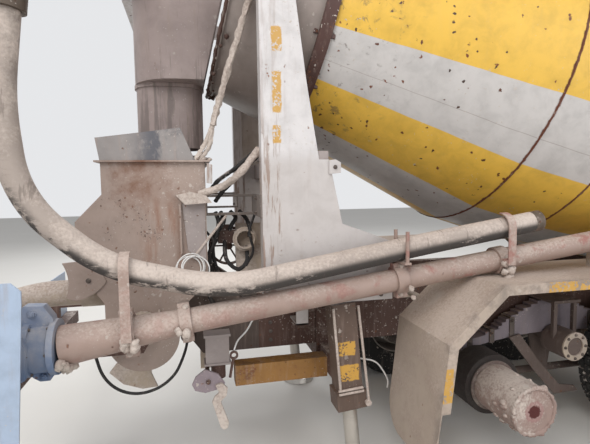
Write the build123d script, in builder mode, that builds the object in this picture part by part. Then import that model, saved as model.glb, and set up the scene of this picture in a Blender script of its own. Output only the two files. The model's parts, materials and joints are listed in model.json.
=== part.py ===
from build123d import *
import math
import os

# Rear working end of a truck that mixes and pumps concrete, at real size in millimetres.
# +X is the driving direction, +Y is the truck's left side, +Z is up and Z = 0 is the ground.
# X = 0 is the middle of the length, so the bogie lies a little behind it.

os.makedirs("parts", exist_ok=True)

SIDES = (("right", -1), ("left", 1))
TOUCH = 0.3
RUNNING = 0.1
LENGTH_END_X = 3980

# Chassis rails and the mixer subframe on top of them
RAIL_OUT_Y = 430
RAIL_H = 270
RAIL_FLANGE = 80
RAIL_T = 9
RAIL_Z = 790
RAIL_TOP = RAIL_Z + RAIL_H
RAIL_REAR_X = -2330
RAIL_FRONT_X = LENGTH_END_X
SPLICE_HOLE_R = 9
SPLICE_X = 200
SPLICE_Z = 150
SPLICE_BACK = 150
SUB_H = 120
SUB_W = 80
SUB_T = 8
SUB_FRONT_X = LENGTH_END_X - 280
SUB_TOP = RAIL_TOP + SUB_H
CROSS_W = 70
CROSS_H = 150
CROSS_Z = 850
REAR_CROSS_H = 80

# Bogie
WHEEL_R = 520
REAR_AXLE_X = -800
AXLE_GAP = 1400
FRONT_AXLE_X = REAR_AXLE_X + AXLE_GAP
BOGIE_X = REAR_AXLE_X + AXLE_GAP / 2
AXLE_TUBE_R = 75
AXLE_END_Y = 600
SPINDLE_R = 50
SPINDLE_END_Y = 1000
SPINDLE_END_GAP = 5
DIFF_R = 215
DIFF_W = 250
DIFF_TAPER = 12
PINION_R = 118
PINION_L = 325
PINION_TAPER = 6
DRUM_BRAKE_R = 205
DRUM_BRAKE_W = 195
BRAKE_GAP = 6
SHIELD_R = DRUM_BRAKE_R - 10
SHIELD_T = 8
HUB_R = 150
HUB_END_Y = 1190
HUB_CHAMFER = 6
HUB_FLANGE_R = HUB_R + 20
HUB_FLANGE_T = 18
TYRE_W = 300
TYRE_BEAD_R = 292
TYRE_BEAD_IN = 30
TYRE_WALL_R = TYRE_BEAD_R + 60
TYRE_SHOULDER = 45
TWIN_GAP = 44
TWIN_Y = 920
RIM_T = 10
RIM_DISC_T = 24
RIM_DISH = 60
RIM_FLAT_R = 240
HAND_HOLES = 10
HAND_HOLE_R = 26
HAND_HOLE_AT_R = 206
SPRING_Y = 500
SPRING_W = 90
LEAF_T = 20
SPRING_RADIUS = 3500
SPRING_BOTTOM_Z = 752
SEAT_HALF = 50
SADDLE_HALF = 75
TRUNNION_Z = 703
TRUNNION_R = 45
CAP_R = 105
CAP_IN_Y = 560
CAP_END_Y = 760
SHELF_TOP_Z = 1020
SHELF_T = 20
SHELF_BAR = 30
SHELF_BAR_Y = 660
SHELF_BAR_DX = 85
BOGIE_PLATE_T = 15
BOGIE_PLATE_TOP = 260
BOGIE_PLATE_MID = 110
BOGIE_PLATE_LOW = 60
BOGIE_PLATE_UP = 120
ROD_R = 28
ROD_Y = 405
ROD_BUSH_R = 40
ROD_Z = WHEEL_R - AXLE_TUBE_R - ROD_BUSH_R - TOUCH

# Mudguards over both wheels of a side
GUARD_OUT_Y = 1250
GUARD_IN_Y = 640
GUARD_T = 8
GUARD_TOP_Z = 1311
GUARD_LOW_Z = 280
GUARD_HALF_L = 1400
GUARD_LIP = 58
GUARD_LIP_END_Z = 615
GUARD_CORNER_R = 210
GUARD_BAR_R = 20
GUARD_PAD = 90
GUARD_PAD_T = 12
GUARD_BAR_X = 1145
GUARD_BAR_Z = 1109

# Drum
DRUM_TILT = 13.33
DRUM_X = -513
DRUM_Z = 2751
DRUM_T = 9
DRUM_REAR_R = 800
DRUM_WELD_R = 1177
RING_R = 832
RING_S = -1400
RING_W = 80
ROLLER_R = 110
ROLLER_W = 90
ROLLER_ANGLE = 32
ROLLER_PIN_R = 30
ROLLER_PIN_OUT = 15
ROLLER_CHEEK_T = 20
ROLLER_SIDE_GAP = 5

# Rear pedestal that carries the drum's rollers
POST_REAR_X = -2356
POST_W = 80
POST_D = 90
POST_TOP_Z = 3300
PED_OUT_Y = 860
PED_PLATE_T = 12
ROLLER_BEAM_X = -2160
ROLLER_BEAM_W = 200
ROLLER_BEAM_Z = 1950
ROLLER_BEAM_H = 130
BASE_BEAM_W = 120
BASE_BEAM_H = 150
PLATE_TOP_Z = 3060
PLATE_FRONT_X = -1560
CHEEK_R = 55
CHEEK_H = 220

# Pump hopper and pump
HOPPER_HALF_Y = 600
HOPPER_T = 8
HOPPER_TOP_Z = 2040
HOPPER_FRONT_X = -2660
HOPPER_REAR_X = -3250
HOPPER_BULGE_X = -3400
HOPPER_BULGE_LOW_Z = 1420
HOPPER_BULGE_HIGH_Z = 1690
HOPPER_SHOULDER_Z = 1845
TROUGH_X = -3050
TROUGH_Z = 985
TROUGH_R = 210
TROUGH_WALL_Z = 1200
TROUGH_FRONT_X = TROUGH_X + TROUGH_R
TROUGH_FRONT_Z = 1130
HOPPER_FRONT_Z = 1300
RIM_FLANGE = 30
RIM_FLANGE_T = 10
PUMP_Z = 1010
PUMP_Y = 135
PUMP_CYL_R = 112
PUMP_CYL_L = 800
WATER_BOX_L = 260
DRIVE_CYL_R = 70
DRIVE_CYL_L = 700

# Delivery line along the right side
PIPE_R = 66.5
PIPE_WALL = 6
PIPE_COLLAR_R = 74
PIPE_COLLAR_L = 30
PIPE_Y = -965
PIPE_RISE = 7.07
PIPE_START_X = -3400
PIPE_START_Z = 1095
REDUCER_R = 103
REDUCER_L = 610
PIPE_BEND_X = -60
OUTLET_R = 78
OUTLET_WALL = 8
OUTLET_Y = -390
OUTLET_Z = 1240
BEND_END_X = -3560
COUPLING_R = 122
COUPLING_RIM_R = 138
COUPLING_RIM_T = 30

# End hose stowed on the delivery line
HOSE_R = 64
HOSE_BORE_R = 50
HOSE_Y = -1000

# Jacks
JACK_LEAN = 5.0
REAR_JACK_FOOT_X = -1779
JACK_Y = 800
LEG_W = 150
LEG_T = 10
LEG_TOP_Z = 1172
LEG_BOTTOM_Z = 625
COLLAR_W = 188
COLLAR_H = 115
JACK_ROD_R = 46
JACK_ROD_GAP = 1
PAD_R = 150
PAD_H = 40
PAD_TAPER = 14
ROD_SUNK = 15
ROD_GUIDED = 40
JACK_BEAM_W = 130
JACK_BEAM_Z = 650
JACK_BEAM_H = 138
JACK_PLATE_W = 180
JACK_PLATE_T = 12
JACK_PLATE_SHORT = 30

# Front outriggers
OUTRIGGER_X = (LENGTH_END_X - 820, LENGTH_END_X - 560)
OUTRIGGER_W = 220
OUTRIGGER_H = 200
OUTRIGGER_T = 10
OUTRIGGER_TUBE_Y = 1000
OUTRIGGER_GAP = 1
BEAM_WALL = 8
BEAM_PAST_MIDDLE = 850
FRONT_LEG_Y = 1130
FRONT_LEG_DOWN = 60
FRONT_LEG_H = 740
FRONT_LEG_BORE_H = 720
FRONT_PAD_R = 115
FRONT_ROD_SUNK = 5

PIPE_SLOPE = math.tan(math.radians(PIPE_RISE))
TILT = math.radians(DRUM_TILT)
LEAN = math.radians(JACK_LEAN)


def at_y(y):
    """Side-view plane at Y = y: local x is X and local y is Z. It faces the truck's right side."""
    return Plane.XZ.offset(-y)


def at_x(x):
    """Rear-view plane at X = x: local x is Y and local y is Z. It faces forward."""
    return Plane.YZ.offset(x)


def pipe_z(x):
    """Height of the rising delivery pipe's centreline at X = x."""
    return PIPE_START_Z + (x - PIPE_START_X) * PIPE_SLOPE


def leaf_under(distance):
    """Height of the longest leaf's underside at a distance from the bogie's middle."""
    return SPRING_BOTTOM_Z - SPRING_RADIUS + math.sqrt(SPRING_RADIUS**2 - distance**2)


def drum_point(s, up, y):
    """Point at distance s along the drum's axis, up above it and y across."""
    x = DRUM_X + s * math.cos(TILT) + up * math.sin(TILT)
    z = DRUM_Z - s * math.sin(TILT) + up * math.cos(TILT)
    return (x, y, z)


def leg_x(z):
    """X of the leaning rear jack's centreline at height z."""
    return REAR_JACK_FOOT_X - z * math.tan(LEAN)


drum_axis = Axis((DRUM_X, 0, DRUM_Z), (math.cos(TILT), 0, -math.sin(TILT)))
drum_side = Plane(origin=(DRUM_X, 0, DRUM_Z), x_dir=(math.cos(TILT), 0, -math.sin(TILT)), z_dir=(0, -1, 0))


def drum_section(s):
    """Plane across the drum's axis at distance s along it, facing forward. Local x is Y."""
    return Plane(origin=drum_point(s, 0, 0), x_dir=(0, 1, 0), z_dir=(math.cos(TILT), 0, -math.sin(TILT)))


# Chassis

with BuildPart() as rails:
    for side in (-1, 1):
        with BuildSketch(at_x(RAIL_REAR_X)):
            with BuildLine():
                Polyline(
                    (side * RAIL_OUT_Y, RAIL_Z),
                    (side * (RAIL_OUT_Y - RAIL_FLANGE), RAIL_Z),
                    (side * (RAIL_OUT_Y - RAIL_FLANGE), RAIL_Z + RAIL_T),
                    (side * (RAIL_OUT_Y - RAIL_T), RAIL_Z + RAIL_T),
                    (side * (RAIL_OUT_Y - RAIL_T), RAIL_TOP - RAIL_T),
                    (side * (RAIL_OUT_Y - RAIL_FLANGE), RAIL_TOP - RAIL_T),
                    (side * (RAIL_OUT_Y - RAIL_FLANGE), RAIL_TOP),
                    (side * RAIL_OUT_Y, RAIL_TOP),
                    close=True,
                )
            make_face()
        extrude(amount=RAIL_FRONT_X - RAIL_REAR_X)
        with BuildSketch(at_y(0)):
            with Locations((RAIL_FRONT_X - SPLICE_BACK, RAIL_Z + RAIL_H / 2)):
                with GridLocations(SPLICE_X, SPLICE_Z, 2, 2):
                    Circle(SPLICE_HOLE_R)
        extrude(amount=-side * RAIL_OUT_Y * 2, mode=Mode.SUBTRACT)
rails.part.label = "rails"
export_step(rails.part, "parts/rails.step")

with BuildPart() as subframe:
    for side in (-1, 1):
        with BuildSketch(at_x(RAIL_REAR_X)):
            with Locations((side * (RAIL_OUT_Y - SUB_W / 2), RAIL_TOP + SUB_H / 2)):
                Rectangle(SUB_W, SUB_H)
                Rectangle(SUB_W - 2 * SUB_T, SUB_H - 2 * SUB_T, mode=Mode.SUBTRACT)
        extrude(amount=SUB_FRONT_X - RAIL_REAR_X)
subframe.part.label = "subframe"
export_step(subframe.part, "parts/subframe.step")

# Columns: X of the member's middle, height of its lower edge, depth
CROSS_ROWS = (
    (RAIL_REAR_X + 80, RAIL_Z + RAIL_T, REAR_CROSS_H),
    (BOGIE_X + 350, CROSS_Z, CROSS_H),
    (BOGIE_X + 1350, CROSS_Z, CROSS_H),
    (BOGIE_X + 2300, CROSS_Z, CROSS_H),
    (LENGTH_END_X - 120, CROSS_Z, CROSS_H),
)
with BuildPart() as cross_members:
    for member_x, member_z, member_h in CROSS_ROWS:
        with BuildSketch(at_y(0)):
            with Locations((member_x, member_z + member_h / 2)):
                Rectangle(CROSS_W, member_h)
                with Locations((RAIL_T, 0)):
                    Rectangle(CROSS_W - RAIL_T, member_h - 2 * RAIL_T, mode=Mode.SUBTRACT)
        extrude(amount=RAIL_OUT_Y - RAIL_T, both=True)
cross_members.part.label = "cross_members"
export_step(cross_members.part, "parts/cross_members.step")

# Bogie: axles, springs, trunnion

for axle_name, axle_x in (("rear", REAR_AXLE_X), ("front", FRONT_AXLE_X)):
    with BuildPart() as axle:
        with BuildSketch(at_y(0)):
            with Locations((axle_x, WHEEL_R)):
                Circle(AXLE_TUBE_R)
        extrude(amount=AXLE_END_Y, both=True)
        with BuildSketch(at_y(0)):
            with Locations((axle_x, WHEEL_R)):
                Circle(SPINDLE_R)
        extrude(amount=SPINDLE_END_Y, both=True)
        with BuildSketch(at_y(0)):
            with Locations((axle_x, WHEEL_R)):
                Circle(DIFF_R)
        extrude(amount=DIFF_W / 2, both=True, taper=DIFF_TAPER)
        with BuildSketch(at_x(axle_x)):
            with Locations((0, WHEEL_R)):
                Circle(PINION_R)
        extrude(amount=PINION_L, taper=PINION_TAPER)
        for side in (-1, 1):
            with BuildSketch(at_y(side * SPRING_Y)):
                with BuildLine():
                    Polyline(
                        (axle_x - SEAT_HALF, WHEEL_R),
                        (axle_x - SEAT_HALF, leaf_under(abs(axle_x - SEAT_HALF - BOGIE_X)) - TOUCH),
                        (axle_x + SEAT_HALF, leaf_under(abs(axle_x + SEAT_HALF - BOGIE_X)) - TOUCH),
                        (axle_x + SEAT_HALF, WHEEL_R),
                        close=True,
                    )
                make_face()
            extrude(amount=SPRING_W / 2, both=True)
            with BuildSketch(at_y(side * (AXLE_END_Y - SHIELD_T))):
                with Locations((axle_x, WHEEL_R)):
                    Circle(SHIELD_R)
            extrude(amount=-side * SHIELD_T)
    axle.part.label = f"axle_{axle_name}"
    export_step(axle.part, f"parts/axle_{axle_name}.step")

# Columns: leaf number from the longest at the bottom, half length
LEAF_ROWS = (
    (0, 760),
    (1, 760),
    (2, 740),
    (3, 560),
    (4, 450),
    (5, 420),
    (6, 386),
    (7, 340),
    (8, 280),
    (9, 237),
    (10, 172),
    (11, 120),
)
with BuildPart() as leaf_springs:
    for side in (-1, 1):
        for leaf, half_length in LEAF_ROWS:
            inner = SPRING_RADIUS + leaf * LEAF_T
            outer = inner + LEAF_T
            half = math.asin(half_length / SPRING_RADIUS)
            centre_z = SPRING_BOTTOM_Z - SPRING_RADIUS
            with BuildSketch(at_y(side * SPRING_Y)):
                with BuildLine():
                    low_1 = (BOGIE_X - inner * math.sin(half), centre_z + inner * math.cos(half))
                    low_2 = (BOGIE_X + inner * math.sin(half), centre_z + inner * math.cos(half))
                    high_1 = (BOGIE_X - outer * math.sin(half), centre_z + outer * math.cos(half))
                    high_2 = (BOGIE_X + outer * math.sin(half), centre_z + outer * math.cos(half))
                    ThreePointArc(low_1, (BOGIE_X, centre_z + inner), low_2)
                    Line(low_2, high_2)
                    ThreePointArc(high_2, (BOGIE_X, centre_z + outer), high_1)
                    Line(high_1, low_1)
                make_face()
            extrude(amount=SPRING_W / 2, both=True)
leaf_springs.part.label = "leaf_springs"
export_step(leaf_springs.part, "parts/leaf_springs.step")

with BuildPart() as bogie_frame:
    with BuildSketch(at_y(0)):
        with Locations((BOGIE_X, TRUNNION_Z)):
            Circle(TRUNNION_R)
    extrude(amount=CAP_END_Y, both=True)
    for side in (-1, 1):
        with BuildSketch(at_y(side * RAIL_OUT_Y)):
            with BuildLine():
                Polyline(
                    (BOGIE_X - BOGIE_PLATE_TOP, RAIL_Z + BOGIE_PLATE_UP),
                    (BOGIE_X + BOGIE_PLATE_TOP, RAIL_Z + BOGIE_PLATE_UP),
                    (BOGIE_X + BOGIE_PLATE_MID, TRUNNION_Z),
                    (BOGIE_X + BOGIE_PLATE_LOW, ROD_Z),
                    (BOGIE_X - BOGIE_PLATE_LOW, ROD_Z),
                    (BOGIE_X - BOGIE_PLATE_MID, TRUNNION_Z),
                    close=True,
                )
            make_face()
        extrude(amount=-side * BOGIE_PLATE_T)
        with BuildSketch(at_y(side * CAP_IN_Y)):
            with Locations((BOGIE_X, TRUNNION_Z)):
                Circle(CAP_R)
        extrude(amount=-side * (CAP_END_Y - CAP_IN_Y))
        with BuildSketch(at_y(side * RAIL_OUT_Y)):
            with Locations((BOGIE_X, SHELF_TOP_Z - SHELF_T / 2)):
                Rectangle(2 * (SHELF_BAR_DX + SHELF_BAR), SHELF_T)
        extrude(amount=-side * (SHELF_BAR_Y + SHELF_BAR - RAIL_OUT_Y))
        with BuildSketch(at_y(side * SHELF_BAR_Y)):
            for end in (-1, 1):
                with Locations((BOGIE_X + end * SHELF_BAR_DX, (SHELF_TOP_Z - SHELF_T / 2 + TRUNNION_Z) / 2)):
                    Rectangle(SHELF_BAR, SHELF_TOP_Z - SHELF_T / 2 - TRUNNION_Z)
        extrude(amount=SHELF_BAR / 2, both=True)
        with BuildSketch(at_y(side * SPRING_Y)):
            with Locations((BOGIE_X, (TRUNNION_Z + leaf_under(SADDLE_HALF) - TOUCH) / 2)):
                Rectangle(2 * SADDLE_HALF, leaf_under(SADDLE_HALF) - TOUCH - TRUNNION_Z)
        extrude(amount=SPRING_W / 2, both=True)
        with BuildSketch(at_y(side * ROD_Y)):
            with Locations((BOGIE_X, ROD_Z), (REAR_AXLE_X, ROD_Z), (FRONT_AXLE_X, ROD_Z)):
                Circle(ROD_BUSH_R)
        extrude(amount=RAIL_OUT_Y - ROD_Y, both=True)
        with BuildSketch(at_x(REAR_AXLE_X)):
            with Locations((side * ROD_Y, ROD_Z)):
                Circle(ROD_R)
        extrude(amount=AXLE_GAP)
bogie_frame.part.label = "bogie_frame"
export_step(bogie_frame.part, "parts/bogie_frame.step")

# Wheels and hubs. Rows: name, side, axle X. The right rear wheel is missing, so only its hub stands there.
WHEEL_ROWS = (
    ("rear_left", 1, REAR_AXLE_X),
    ("front_right", -1, FRONT_AXLE_X),
    ("front_left", 1, FRONT_AXLE_X),
)
BRAKE_IN_Y = AXLE_END_Y + BRAKE_GAP
BRAKE_OUT_Y = BRAKE_IN_Y + DRUM_BRAKE_W
DISC_IN_Y = BRAKE_OUT_Y + HUB_FLANGE_T


def hub_profile(side):
    """Half section of a hub with its brake drum, drawn from the axle's middle line outward."""
    bore = SPINDLE_R + RUNNING
    with BuildLine() as line:
        Polyline(
            (bore, side * BRAKE_IN_Y),
            (DRUM_BRAKE_R, side * BRAKE_IN_Y),
            (DRUM_BRAKE_R, side * BRAKE_OUT_Y),
            (HUB_FLANGE_R, side * BRAKE_OUT_Y),
            (HUB_FLANGE_R, side * DISC_IN_Y),
            (HUB_R, side * DISC_IN_Y),
            (HUB_R, side * (HUB_END_Y - HUB_CHAMFER)),
            (HUB_R - HUB_CHAMFER, side * HUB_END_Y),
            (0, side * HUB_END_Y),
            (0, side * (SPINDLE_END_Y + SPINDLE_END_GAP)),
            (bore, side * (SPINDLE_END_Y + SPINDLE_END_GAP)),
            close=True,
        )
    return line.line


with BuildPart() as hub_rear_right:
    hub_plane = Plane(origin=(REAR_AXLE_X, 0, WHEEL_R), x_dir=(1, 0, 0), z_dir=(0, 0, 1))
    with BuildSketch(hub_plane):
        add(hub_profile(-1))
        make_face()
    revolve(axis=Axis((REAR_AXLE_X, 0, WHEEL_R), (0, 1, 0)))
hub_rear_right.part.label = "hub_rear_right"
export_step(hub_rear_right.part, "parts/hub_rear_right.step")

for wheel_name, side, wheel_x in WHEEL_ROWS:
    wheel_plane = Plane(origin=(wheel_x, 0, WHEEL_R), x_dir=(1, 0, 0), z_dir=(0, 0, 1))
    wheel_axis = Axis((wheel_x, 0, WHEEL_R), (0, 1, 0))
    with BuildPart() as tyres:
        for twin in (-1, 1):
            middle = side * TWIN_Y + twin * (TYRE_W + TWIN_GAP) / 2
            with BuildSketch(wheel_plane):
                with BuildLine():
                    Polyline(
                        (TYRE_BEAD_R, middle - TYRE_W / 2 + TYRE_BEAD_IN),
                        (TYRE_WALL_R, middle - TYRE_W / 2),
                        (WHEEL_R - TYRE_SHOULDER, middle - TYRE_W / 2),
                        (WHEEL_R, middle - TYRE_W / 2 + TYRE_SHOULDER),
                        (WHEEL_R, middle + TYRE_W / 2 - TYRE_SHOULDER),
                        (WHEEL_R - TYRE_SHOULDER, middle + TYRE_W / 2),
                        (TYRE_WALL_R, middle + TYRE_W / 2),
                        (TYRE_BEAD_R, middle + TYRE_W / 2 - TYRE_BEAD_IN),
                        close=True,
                    )
                make_face()
            revolve(axis=wheel_axis)
    tyres.part.label = f"tyres_{wheel_name}"
    export_step(tyres.part, f"parts/tyres_{wheel_name}.step")
    with BuildPart() as rims:
        rim_r = TYRE_BEAD_R - TOUCH
        rim_in = TWIN_Y - TWIN_GAP / 2 - TYRE_W + TYRE_BEAD_IN
        rim_out = TWIN_Y + TWIN_GAP / 2 + TYRE_W - TYRE_BEAD_IN
        disc_out = DISC_IN_Y + RIM_DISC_T
        with BuildSketch(wheel_plane):
            add(hub_profile(side))
            make_face()
        revolve(axis=wheel_axis)
        with BuildSketch(wheel_plane):
            with BuildLine():
                Polyline(
                    (HUB_R - 5, side * DISC_IN_Y),
                    (RIM_FLAT_R, side * DISC_IN_Y),
                    (rim_r - RIM_T, side * (DISC_IN_Y + RIM_DISH)),
                    (rim_r - RIM_T, side * rim_in),
                    (rim_r, side * rim_in),
                    (rim_r, side * rim_out),
                    (rim_r - RIM_T, side * rim_out),
                    (rim_r - RIM_T, side * (disc_out + RIM_DISH)),
                    (RIM_FLAT_R, side * disc_out),
                    (HUB_R - 5, side * disc_out),
                    close=True,
                )
            make_face()
        revolve(axis=wheel_axis)
        with BuildSketch(at_y(side * (DISC_IN_Y - 1))):
            with Locations((wheel_x, WHEEL_R)):
                with PolarLocations(HAND_HOLE_AT_R, HAND_HOLES):
                    Circle(HAND_HOLE_R)
        extrude(amount=-side * (RIM_DISC_T + 2), mode=Mode.SUBTRACT)
    rims.part.label = f"rims_{wheel_name}"
    export_step(rims.part, f"parts/rims_{wheel_name}.step")

# Mudguards: outline of the octagonal arch. Columns: distance from the bogie's middle, height
GUARD_ROWS = ((964, GUARD_TOP_Z), (1305, 1002), (1354, 608), (GUARD_HALF_L, GUARD_LOW_Z))
GUARD_MID_Y = (GUARD_OUT_Y + GUARD_IN_Y) / 2
GUARD_W = GUARD_OUT_Y - GUARD_IN_Y
with BuildPart() as mudguards:
    for side in (-1, 1):
        arch = [(BOGIE_X - d, z) for d, z in reversed(GUARD_ROWS)] + [(BOGIE_X + d, z) for d, z in GUARD_ROWS]
        with BuildSketch(at_y(side * GUARD_MID_Y)) as arch_sketch:
            with BuildLine():
                Polyline(*arch, close=True)
            make_face()
        extrude(amount=GUARD_W / 2, both=True)
        with BuildSketch(at_y(side * (GUARD_OUT_Y - GUARD_T + GUARD_IN_Y - 1) / 2)):
            offset(arch_sketch.sketch_local, amount=-GUARD_T, kind=Kind.INTERSECTION)
            with Locations((BOGIE_X, GUARD_LOW_Z)):
                Rectangle(2 * (GUARD_HALF_L - GUARD_T) - 4, 2 * GUARD_T + 4)
        extrude(amount=(GUARD_W - GUARD_T + 1) / 2, both=True, mode=Mode.SUBTRACT)
        with BuildSketch(at_y(side * GUARD_OUT_Y)):
            offset(arch_sketch.sketch_local, amount=-GUARD_LIP, kind=Kind.INTERSECTION)
            with Locations((BOGIE_X, GUARD_LOW_Z)):
                Rectangle(2 * (GUARD_HALF_L - GUARD_LIP) - 20, 2 * GUARD_LIP + 20)
        extrude(amount=2 * GUARD_T, both=True, mode=Mode.SUBTRACT)
        with BuildSketch(at_y(side * GUARD_OUT_Y)):
            offset(arch_sketch.sketch_local, amount=-GUARD_T, kind=Kind.INTERSECTION)
            with Locations((BOGIE_X, GUARD_LOW_Z)):
                Rectangle(2 * (GUARD_HALF_L - GUARD_T) - 4, 2 * GUARD_T + 4)
            with Locations((BOGIE_X, GUARD_LIP_END_Z + GUARD_HALF_L)):
                Rectangle(2 * GUARD_HALF_L, 2 * GUARD_HALF_L, mode=Mode.SUBTRACT)
        extrude(amount=2 * GUARD_T, both=True, mode=Mode.SUBTRACT)
        with BuildSketch(at_x(BOGIE_X)):
            with Locations((side * GUARD_MID_Y, GUARD_LOW_Z + GUARD_CORNER_R / 2)):
                Rectangle(GUARD_W + 2, GUARD_CORNER_R + 2)
            with Locations((side * (GUARD_MID_Y + GUARD_CORNER_R), GUARD_LOW_Z + 2 * GUARD_CORNER_R)):
                RectangleRounded(
                    GUARD_W + 2 * GUARD_CORNER_R, 4 * GUARD_CORNER_R, GUARD_CORNER_R, mode=Mode.SUBTRACT
                )
        extrude(amount=GUARD_HALF_L + 1, both=True, mode=Mode.SUBTRACT)
mudguards.part.label = "mudguards"
export_step(mudguards.part, "parts/mudguards.step")

with BuildPart() as mudguard_bars:
    for side in (-1, 1):
        for end in (-1, 1):
            with BuildSketch(at_y(side * RAIL_OUT_Y)):
                with Locations((BOGIE_X + end * GUARD_BAR_X, GUARD_BAR_Z)):
                    Rectangle(GUARD_PAD, GUARD_PAD)
            extrude(amount=-side * GUARD_PAD_T)
            with BuildSketch(at_y(side * RAIL_OUT_Y)):
                with Locations((BOGIE_X + end * GUARD_BAR_X, GUARD_BAR_Z)):
                    Circle(GUARD_BAR_R)
            extrude(amount=-side * (GUARD_OUT_Y - RAIL_OUT_Y - 60))
mudguard_bars.part.label = "mudguard_bars"
export_step(mudguard_bars.part, "parts/mudguard_bars.step")

# Drum: a shell of cones, open at the rear. Columns: distance along the axis, outer radius
DRUM_ROWS = (
    (-2000, 662),
    (RING_S, DRUM_REAR_R),
    (0, DRUM_WELD_R),
    (520, 1218),
    (1700, 1218),
    (3100, 842),
    (3270, 640),
    (3330, 300),
)
DRUM_MOUTH_S, DRUM_MOUTH_R = DRUM_ROWS[0]
DRUM_END_S, DRUM_END_R = DRUM_ROWS[-1]
MOUTH_RIM_R = 690
MOUTH_RIM_T = 25
DRUM_FLANGE_R = 190
DRUM_FLANGE_L = 40
with BuildPart() as drum_shell:
    with BuildSketch(drum_side):
        with BuildLine():
            Polyline((DRUM_MOUTH_S, 0), *DRUM_ROWS, (DRUM_END_S, 0), close=True)
        make_face()
    revolve(axis=drum_axis)
    with BuildSketch(drum_side):
        with BuildLine():
            inner_rows = [(s, r - DRUM_T) for s, r in DRUM_ROWS[:-1]]
            inner_rows[-1] = (DRUM_ROWS[-2][0] - DRUM_T, DRUM_ROWS[-2][1] - DRUM_T)
            Polyline(
                (DRUM_MOUTH_S - 10, 0),
                (DRUM_MOUTH_S - 10, DRUM_MOUTH_R - DRUM_T),
                *inner_rows,
                (DRUM_END_S - 2 * DRUM_T, DRUM_END_R - DRUM_T),
                (DRUM_END_S - 2 * DRUM_T, 0),
                close=True,
            )
        make_face()
    revolve(axis=drum_axis, mode=Mode.SUBTRACT)
    with BuildSketch(drum_section(DRUM_END_S - 1)):
        Circle(DRUM_FLANGE_R)
    extrude(amount=DRUM_FLANGE_L + 1)
    with BuildSketch(drum_side):
        with BuildLine():
            Polyline(
                (DRUM_MOUTH_S, DRUM_MOUTH_R - DRUM_T - 3),
                (DRUM_MOUTH_S, MOUTH_RIM_R),
                (DRUM_MOUTH_S + MOUTH_RIM_T, MOUTH_RIM_R),
                (DRUM_MOUTH_S + MOUTH_RIM_T, DRUM_MOUTH_R - DRUM_T + 2),
                close=True,
            )
        make_face()
    revolve(axis=drum_axis)
drum_shell.part.label = "drum_shell"
export_step(drum_shell.part, "parts/drum_shell.step")

ring_in_r = DRUM_REAR_R + RING_W / 2 * (DRUM_WELD_R - DRUM_REAR_R) / -RING_S + TOUCH
with BuildPart() as riding_ring:
    with BuildSketch(drum_side):
        with Locations((RING_S, (RING_R + ring_in_r) / 2)):
            Rectangle(RING_W, RING_R - ring_in_r)
    revolve(axis=drum_axis)
riding_ring.part.label = "riding_ring"
export_step(riding_ring.part, "parts/riding_ring.step")

ROLLER_REACH = RING_R + ROLLER_R + TOUCH
roller_up = -ROLLER_REACH * math.cos(math.radians(ROLLER_ANGLE))
roller_y = ROLLER_REACH * math.sin(math.radians(ROLLER_ANGLE))
for side_name, side in SIDES:
    with BuildPart() as roller:
        with BuildSketch(drum_section(RING_S)):
            with Locations((side * roller_y, roller_up)):
                Circle(ROLLER_R)
                Circle(ROLLER_PIN_R + RUNNING, mode=Mode.SUBTRACT)
        extrude(amount=ROLLER_W / 2, both=True)
    roller.part.label = f"drum_roller_{side_name}"
    export_step(roller.part, f"parts/drum_roller_{side_name}.step")

# Rear pedestal
# Columns: X and Z of the side plate's front edge, from the top down
PLATE_ROWS = (
    (-2165, PLATE_TOP_Z),
    (-2090, 2470),
    (-2020, 2030),
    (-1960, 2030),
    (-1880, 1653),
    (PLATE_FRONT_X, 1534),
    (PLATE_FRONT_X, SUB_TOP),
)
with BuildPart() as pedestal_sides:
    for side in (-1, 1):
        with BuildSketch(Plane.XY.offset(SUB_TOP)):
            with Locations((POST_REAR_X + POST_W / 2, side * (PED_OUT_Y - POST_D / 2))):
                Rectangle(POST_W, POST_D)
        extrude(amount=POST_TOP_Z - SUB_TOP)
        with BuildSketch(at_y(side * PED_OUT_Y)):
            with BuildLine():
                Polyline((POST_REAR_X + POST_W, SUB_TOP), (POST_REAR_X + POST_W, PLATE_TOP_Z), *PLATE_ROWS, close=True)
            make_face()
        extrude(amount=side * PED_PLATE_T)
pedestal_sides.part.label = "pedestal_sides"
export_step(pedestal_sides.part, "parts/pedestal_sides.step")

with BuildPart() as pedestal_beams:
    beam_half = PED_OUT_Y - PED_PLATE_T
    with BuildSketch(at_y(0)):
        with Locations((ROLLER_BEAM_X + ROLLER_BEAM_W / 2, ROLLER_BEAM_Z + ROLLER_BEAM_H / 2)):
            Rectangle(ROLLER_BEAM_W, ROLLER_BEAM_H)
        with Locations((POST_REAR_X + POST_W + BASE_BEAM_W / 2, SUB_TOP + BASE_BEAM_H / 2)):
            Rectangle(BASE_BEAM_W, BASE_BEAM_H)
        with Locations((PLATE_FRONT_X - BASE_BEAM_W / 2, SUB_TOP + BASE_BEAM_H / 2)):
            Rectangle(BASE_BEAM_W, BASE_BEAM_H)
    extrude(amount=beam_half, both=True)
    for side in (-1, 1):
        for cheek in (-1, 1):
            cheek_s = RING_S + cheek * (ROLLER_W / 2 + ROLLER_SIDE_GAP + ROLLER_CHEEK_T / 2)
            with BuildSketch(drum_section(cheek_s)):
                with Locations((side * roller_y, roller_up)):
                    Circle(CHEEK_R)
                with Locations((side * roller_y, roller_up - CHEEK_H / 2)):
                    Rectangle(2 * CHEEK_R, CHEEK_H)
            extrude(amount=ROLLER_CHEEK_T / 2, both=True)
        with BuildSketch(drum_section(RING_S)):
            with Locations((side * roller_y, roller_up)):
                Circle(ROLLER_PIN_R)
        extrude(amount=ROLLER_W / 2 + ROLLER_SIDE_GAP + ROLLER_CHEEK_T + ROLLER_PIN_OUT, both=True)
pedestal_beams.part.label = "pedestal_beams"
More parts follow.
